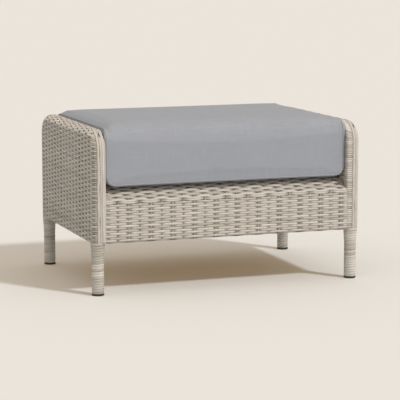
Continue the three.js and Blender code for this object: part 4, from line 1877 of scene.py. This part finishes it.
    def settle(self, piece: Object) -> None:
        """Smooths the canvas and keeps it in its space, flat where it lies on the deck.

        Args:
            piece: The canvas.
        """
        bench = bmesh.new()
        bench.from_mesh(piece.data)
        how = {"factor": self.smooth_factor, "use_axis_x": True, "use_axis_y": True, "use_axis_z": True}
        for _ in range(self.smooth_rounds):
            bmesh.ops.smooth_vert(bench, verts=bench.verts, **how)
        reach, height = self.high.x - self.calm_margin, self.low.z + self.calm_from
        calm = [vert for vert in bench.verts if abs(vert.co.x) < reach and vert.co.z > height]
        for _ in range(self.calm_rounds):
            bmesh.ops.smooth_vert(bench, verts=calm, **how)
        bench.to_mesh(piece.data)
        bench.free()
        points = points_of(piece.data)
        low, high = np.array(self.low), np.array(self.high)
        near = smooth_step((np.abs(points[:, :2]) / high[:2] - self.corner_from) / self.corner_width)
        near[:, :1] *= smooth_step((points[:, 2:] - low[2] - self.fill_from) / self.right_bottom_round)
        points[:, :2] += np.sign(points[:, :2]) * self.corner_fill * near[:, :1] * near[:, 1:]
        margin = np.array([self.skin_margin, self.skin_margin, self.deck_margin])
        points = np.clip(points, low + margin, high - self.skin_margin)
        piece.data.vertices.foreach_set("co", points.ravel())

    def cover(self) -> Object:
        """Makes the stuffed canvas cover.

        Returns:
            The cover.
        """
        piece = self.remeshed(self.block())
        piece.data.vertices.foreach_set("co", self.swell(points_of(piece.data)).ravel())
        self.simulate(piece)
        self.settle(piece)
        thread_directions(piece.data)
        piece.data.shade_smooth()
        dress(piece, CANVAS.material())
        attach(piece, "cushion")
        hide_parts("cushion_cover")
        LOG.info("cushion_canvas: %d faces on cushion", len(piece.data.polygons))
        return piece

    def foam(self, cover: Object) -> None:
        """Makes the foam inside, a little smaller than the cover all round.

        Args:
            cover: The cover.
        """
        bench = bmesh.new()
        bench.from_mesh(cover.data)
        bench.normal_update()
        for vert in bench.verts:
            vert.co -= vert.normal * self.foam_gap
        mesh = mesh_of("cushion_foam", bench)
        mesh.attributes.remove(mesh.attributes[CLOTH_ATTRIBUTE])
        mesh.shade_smooth()
        piece = add_piece("cushion_foam", mesh, "cushion", FOAM.material())
        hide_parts("cushion_core")

    def seam(self, name: str, line: Sequence[Vector], closed: bool, skin: BVHTree) -> None:
        """Sews a welted seam on the cover.

        Args:
            name: The seam's name.
            line: Points near the cover that the seam follows.
            closed: Whether the seam comes back to its start.
            skin: The cover's surface.
        """
        curve = bpy.data.curves.new(name, "CURVE")
        curve.dimensions = "3D"
        curve.bevel_depth = self.seam_depth
        curve.bevel_resolution = self.seam_facets
        curve.use_fill_caps = not closed
        spline = curve.splines.new("POLY")
        spline.points.add(len(line) - 1)
        spline.use_cyclic_u = closed
        for point, target in zip(line, spline.points):
            nearest, normal, _, _ = skin.find_nearest(point)
            target.co = (*(nearest - normal * self.seam_depth * self.seam_sink), 1.0)
        holder = link_object(name, curve)
        bpy.context.view_layer.update()
        shown = holder.evaluated_get(bpy.context.evaluated_depsgraph_get())
        mesh = bpy.data.meshes.new_from_object(shown)
        bpy.data.objects.remove(holder)
        mesh.name = name
        thread_directions(mesh)
        mesh.shade_smooth()
        add_piece(name, mesh, "cushion", CANVAS.material())

    def section_line(self, x: float) -> list[Vector]:
        """Lists points round the cushion's section.

        Args:
            x: Where the section is.

        Returns:
            The points.
        """
        half_y, half_z = (self.high.y - self.low.y) / 2, (self.flat_top - self.low.z) / 2
        middle = (self.flat_top + self.low.z) / 2
        points = []
        power = self.section_power
        for step in range(self.section_points):
            angle = math.tau * step / self.section_points
            y, z = math.cos(angle), math.sin(angle)
            reach = (abs(y) ** power + abs(z) ** power) ** (-1 / power)
            points.append(Vector((x, half_y * reach * y, middle + half_z * reach * z)))
        return points

    def bottom_line(self, row: Row) -> list[Vector]:
        """Lists points along the bottom of the front or the rear, and up round its two corners.

        Args:
            row: Whether it is the front or the rear.

        Returns:
            The points.
        """
        reach = self.high.x - self.seam_inset
        points = []
        for step in range(self.bottom_points + 1):
            x = -reach * math.cos(math.pi * step / self.bottom_points)
            radius = (self.left_bottom_round if x < 0 else self.right_bottom_round) - self.seam_inset
            past = max(abs(x) - reach + radius, 0)
            rise = self.seam_rise + radius - math.sqrt(radius * radius - past * past)
            points.append(Vector((x, row.value * self.high.y, self.low.z + rise)))
        return points

    def seams(self, cover: Object) -> None:
        """Sews the seams round both ends, and along the bottom of the front and the rear.

        Args:
            cover: The cover.
        """
        bpy.context.view_layer.update()
        skin = BVHTree.FromObject(cover, bpy.context.evaluated_depsgraph_get())
        for side in Side:
            x = side.value * (self.high.x - self.seam_inset)
            self.seam(f"cushion_{side.word}_end_seam", self.section_line(x), True, skin)
        for row in Row:
            self.seam(f"cushion_{row.word}_bottom_seam", self.bottom_line(row), False, skin)

    def build(self) -> None:
        """Builds the cushion."""
        cover = self.cover()
        self.foam(cover)
        self.seams(cover)


@dataclass
class Zip:
    """Zip in the back of the cushion: its woven tape, two rows of teeth, the slider and its pull."""

    tooth_pitch: float = 0.0030
    tooth_length: float = 0.0032
    tooth_width: float = 0.0016
    tooth_height: float = 0.0012
    tooth_bevel: float = 0.0003
    row_share: float = 0.3
    end_margin: float = 0.012
    tape_thickness: float = 0.0005
    tape_depth: float = 0.0016
    tape_segments: tuple[int, int] = (96, 4)

    def tape(self) -> None:
        """Lays the tape under the teeth."""
        low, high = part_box("cushion_zip")
        bench = bmesh.new()
        place = Matrix.Translation(((low.x + high.x) / 2, high.y - self.tape_depth, (low.z + high.z) / 2))
        stand = Matrix.Rotation(-math.pi / 2, 4, "X")
        size = Matrix.Diagonal((high.x - low.x, high.z - low.z, 1, 1))
        along, across = self.tape_segments
        bmesh.ops.create_grid(
            bench, x_segments=along, y_segments=across, size=0.5, matrix=place @ stand @ size
        )
        mesh = mesh_of("zip_tape_cloth", bench)
        thread_directions(mesh)
        piece = add_piece("zip_tape_cloth", mesh, "cushion", ZIP_TAPE.material())
        thicken(piece, self.tape_thickness)
        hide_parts("cushion_zip")

    def teeth(self) -> None:
        """Sets the teeth in two rows that mesh with each other."""
        low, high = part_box("cushion_zip")
        middle = (low.z + high.z) / 2
        size = Matrix.Diagonal((self.tooth_width, self.tooth_height, self.tooth_length, 1))
        bench = bmesh.new()
        count = int((high.x - low.x - self.end_margin) / self.tooth_pitch)
        start = (low.x + high.x - count * self.tooth_pitch) / 2
        for index in range(2 * count):
            side = 1 if index % 2 else -1
            x = start + index * self.tooth_pitch / 2
            z = middle + side * self.tooth_length * self.row_share
            centre = Matrix.Translation((x, high.y - self.tooth_height / 2, z))
            made = bmesh.ops.create_cube(bench, size=1.0, matrix=centre @ size)
            edges = list({edge for vert in made["verts"] for edge in vert.link_edges})
            bevel = {"offset": self.tooth_bevel, "segments": 1, "profile": 0.5, "material": -1}
            bmesh.ops.bevel(bench, geom=edges, affect="EDGES", **bevel)
        add_piece("zip_teeth", mesh_of("zip_teeth", bench), "cushion", PLASTIC.material())

    def build(self) -> None:
        """Builds the zip."""
        self.tape()
        self.teeth()
        for name in ("zip_slider", "zip_pull"):
            dress(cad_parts[name], ZINC.material())


@dataclass
class Studio:
    """Plain pale floor, soft studio light, and the camera at the photograph's angle."""

    camera_place: tuple[float, float, float] = (-1.7149, -4.7645, 0.95906)
    camera_tilt: float = -8.496
    camera_turn: float = -19.975
    lens: float = 158.56
    sensor: float = 36.0
    shift: tuple[float, float] = (-0.0052, 0.0045)
    floor_size: float = 240.0
    key_from: tuple[float, float, float] = (0.42, -0.60, 0.68)
    key_strength: float = 1.75
    key_angle: float = 6.0
    world_strength: float = 0.62
    world_colour: Colour = (1.0, 0.955, 0.90)
    seen_colour: Colour = (0.76, 0.70, 0.635)

    def camera(self) -> None:
        """Sets the camera up."""
        lens = bpy.data.cameras.new("camera")
        lens.lens = self.lens
        lens.sensor_width = self.sensor
        lens.shift_x, lens.shift_y = self.shift
        holder = link_object("camera", lens)
        holder.location = self.camera_place
        holder.rotation_euler = (math.radians(90 + self.camera_tilt), 0, math.radians(self.camera_turn))
        bpy.context.scene.camera = holder

    def floor(self) -> None:
        """Lays the floor."""
        bench = bmesh.new()
        bmesh.ops.create_grid(bench, x_segments=1, y_segments=1, size=self.floor_size / 2)
        floor = link_object("floor", mesh_of("floor", bench))
        dress(floor, FLOOR.material())

    def lights(self) -> None:
        """Adds a broad key light from the front right, and an even fill from all round."""
        key = bpy.data.lights.new("key", "SUN")
        key.energy = self.key_strength
        key.angle = math.radians(self.key_angle)
        lamp = link_object("key", key)
        lamp.rotation_euler = Vector(self.key_from).to_track_quat("Z", "Y").to_euler()
        world = bpy.data.worlds.new("studio")
        bpy.context.scene.world = world
        world.use_nodes = True
        bench = NodeBench(world.node_tree)
        fill = world.node_tree.nodes["Background"]
        fill.inputs["Color"].default_value = (*self.world_colour, 1.0)
        fill.inputs["Strength"].default_value = self.world_strength
        seen = bench.add("ShaderNodeBackground")
        seen.inputs["Color"].default_value = (*self.seen_colour, 1.0)
        path = bench.add("ShaderNodeLightPath")
        rays = bench.math("MAXIMUM", path.outputs["Is Camera Ray"], path.outputs["Is Glossy Ray"])
        rays = bench.math("MAXIMUM", rays, path.outputs["Is Transmission Ray"])
        mix = bench.add("ShaderNodeMixShader")
        for source, target in zip((rays, fill.outputs[0], seen.outputs[0]), mix.inputs):
            bench.join(source, target)
        bench.join(mix.outputs[0], world.node_tree.nodes["World Output"].inputs["Surface"])
        bpy.context.scene.view_settings.view_transform = "Standard"

    def build(self) -> None:
        """Builds the studio."""
        self.camera()
        self.floor()
        self.lights()


SEED = 268
EDGE_SHIFTS = {Side.LEFT: -0.0085, Side.RIGHT: 0.0105}
INNER_ROUNDS = {Side.LEFT: 0.0080, Side.RIGHT: 0.0060}
LEG_BANDS = {
    (Row.FRONT, Side.LEFT): ((1.0, 0.64), (8.0, 0.44), (2.0, 0.68), (1.0, 0.46), (2.0, 0.78), (8.0, 0.54)),
    (Row.FRONT, Side.RIGHT): (
        *((3.0, 0.62), (2.0, 0.70), (1.0, 0.82), (3.0, 0.62)),
        *((1.0, 0.36), (1.0, 0.70), (1.0, 0.36), (10.0, 0.72)),
    ),
    (Row.REAR, Side.LEFT): ((4.0, 0.60), (2.0, 0.74), (3.0, 0.60), (1.0, 0.36), (10.0, 0.64)),
    # Rear right leg: its bands are the strand's own, and the whole leg is drawn darker as painted shade, for
    # the shade under the body.
    (Row.REAR, Side.RIGHT): ((5.0, 0.42), (2.0, 0.54), (1.0, 0.30), (12.0, 0.44)),
}
FRAME_NODES = tuple(
    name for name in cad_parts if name.endswith(("hoop", "rail")) or name.startswith("deck_slat")
)


def main() -> None:
    """Builds the studio and every piece of the ottoman."""
    logging.basicConfig(level=logging.INFO, format="%(name)s: %(message)s")
    Studio().build()
    sizes = BodySizes.read()
    rng = np.random.default_rng(SEED)
    for name in FRAME_NODES:
        dress(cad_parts[name], POWDER.material())
    for row in Row:
        Apron(sizes, row, rng).build()
    for side in Side:
        SidePanel(sizes, side, rng, EDGE_SHIFTS[side], INNER_ROUNDS[side]).build()
    Deck(sizes, rng).build()
    for (row, side), bands in LEG_BANDS.items():
        Leg(side, row, rng, bands).build()
    Cushion().build()
    Zip().build()


if __name__ == "__main__":
    main()
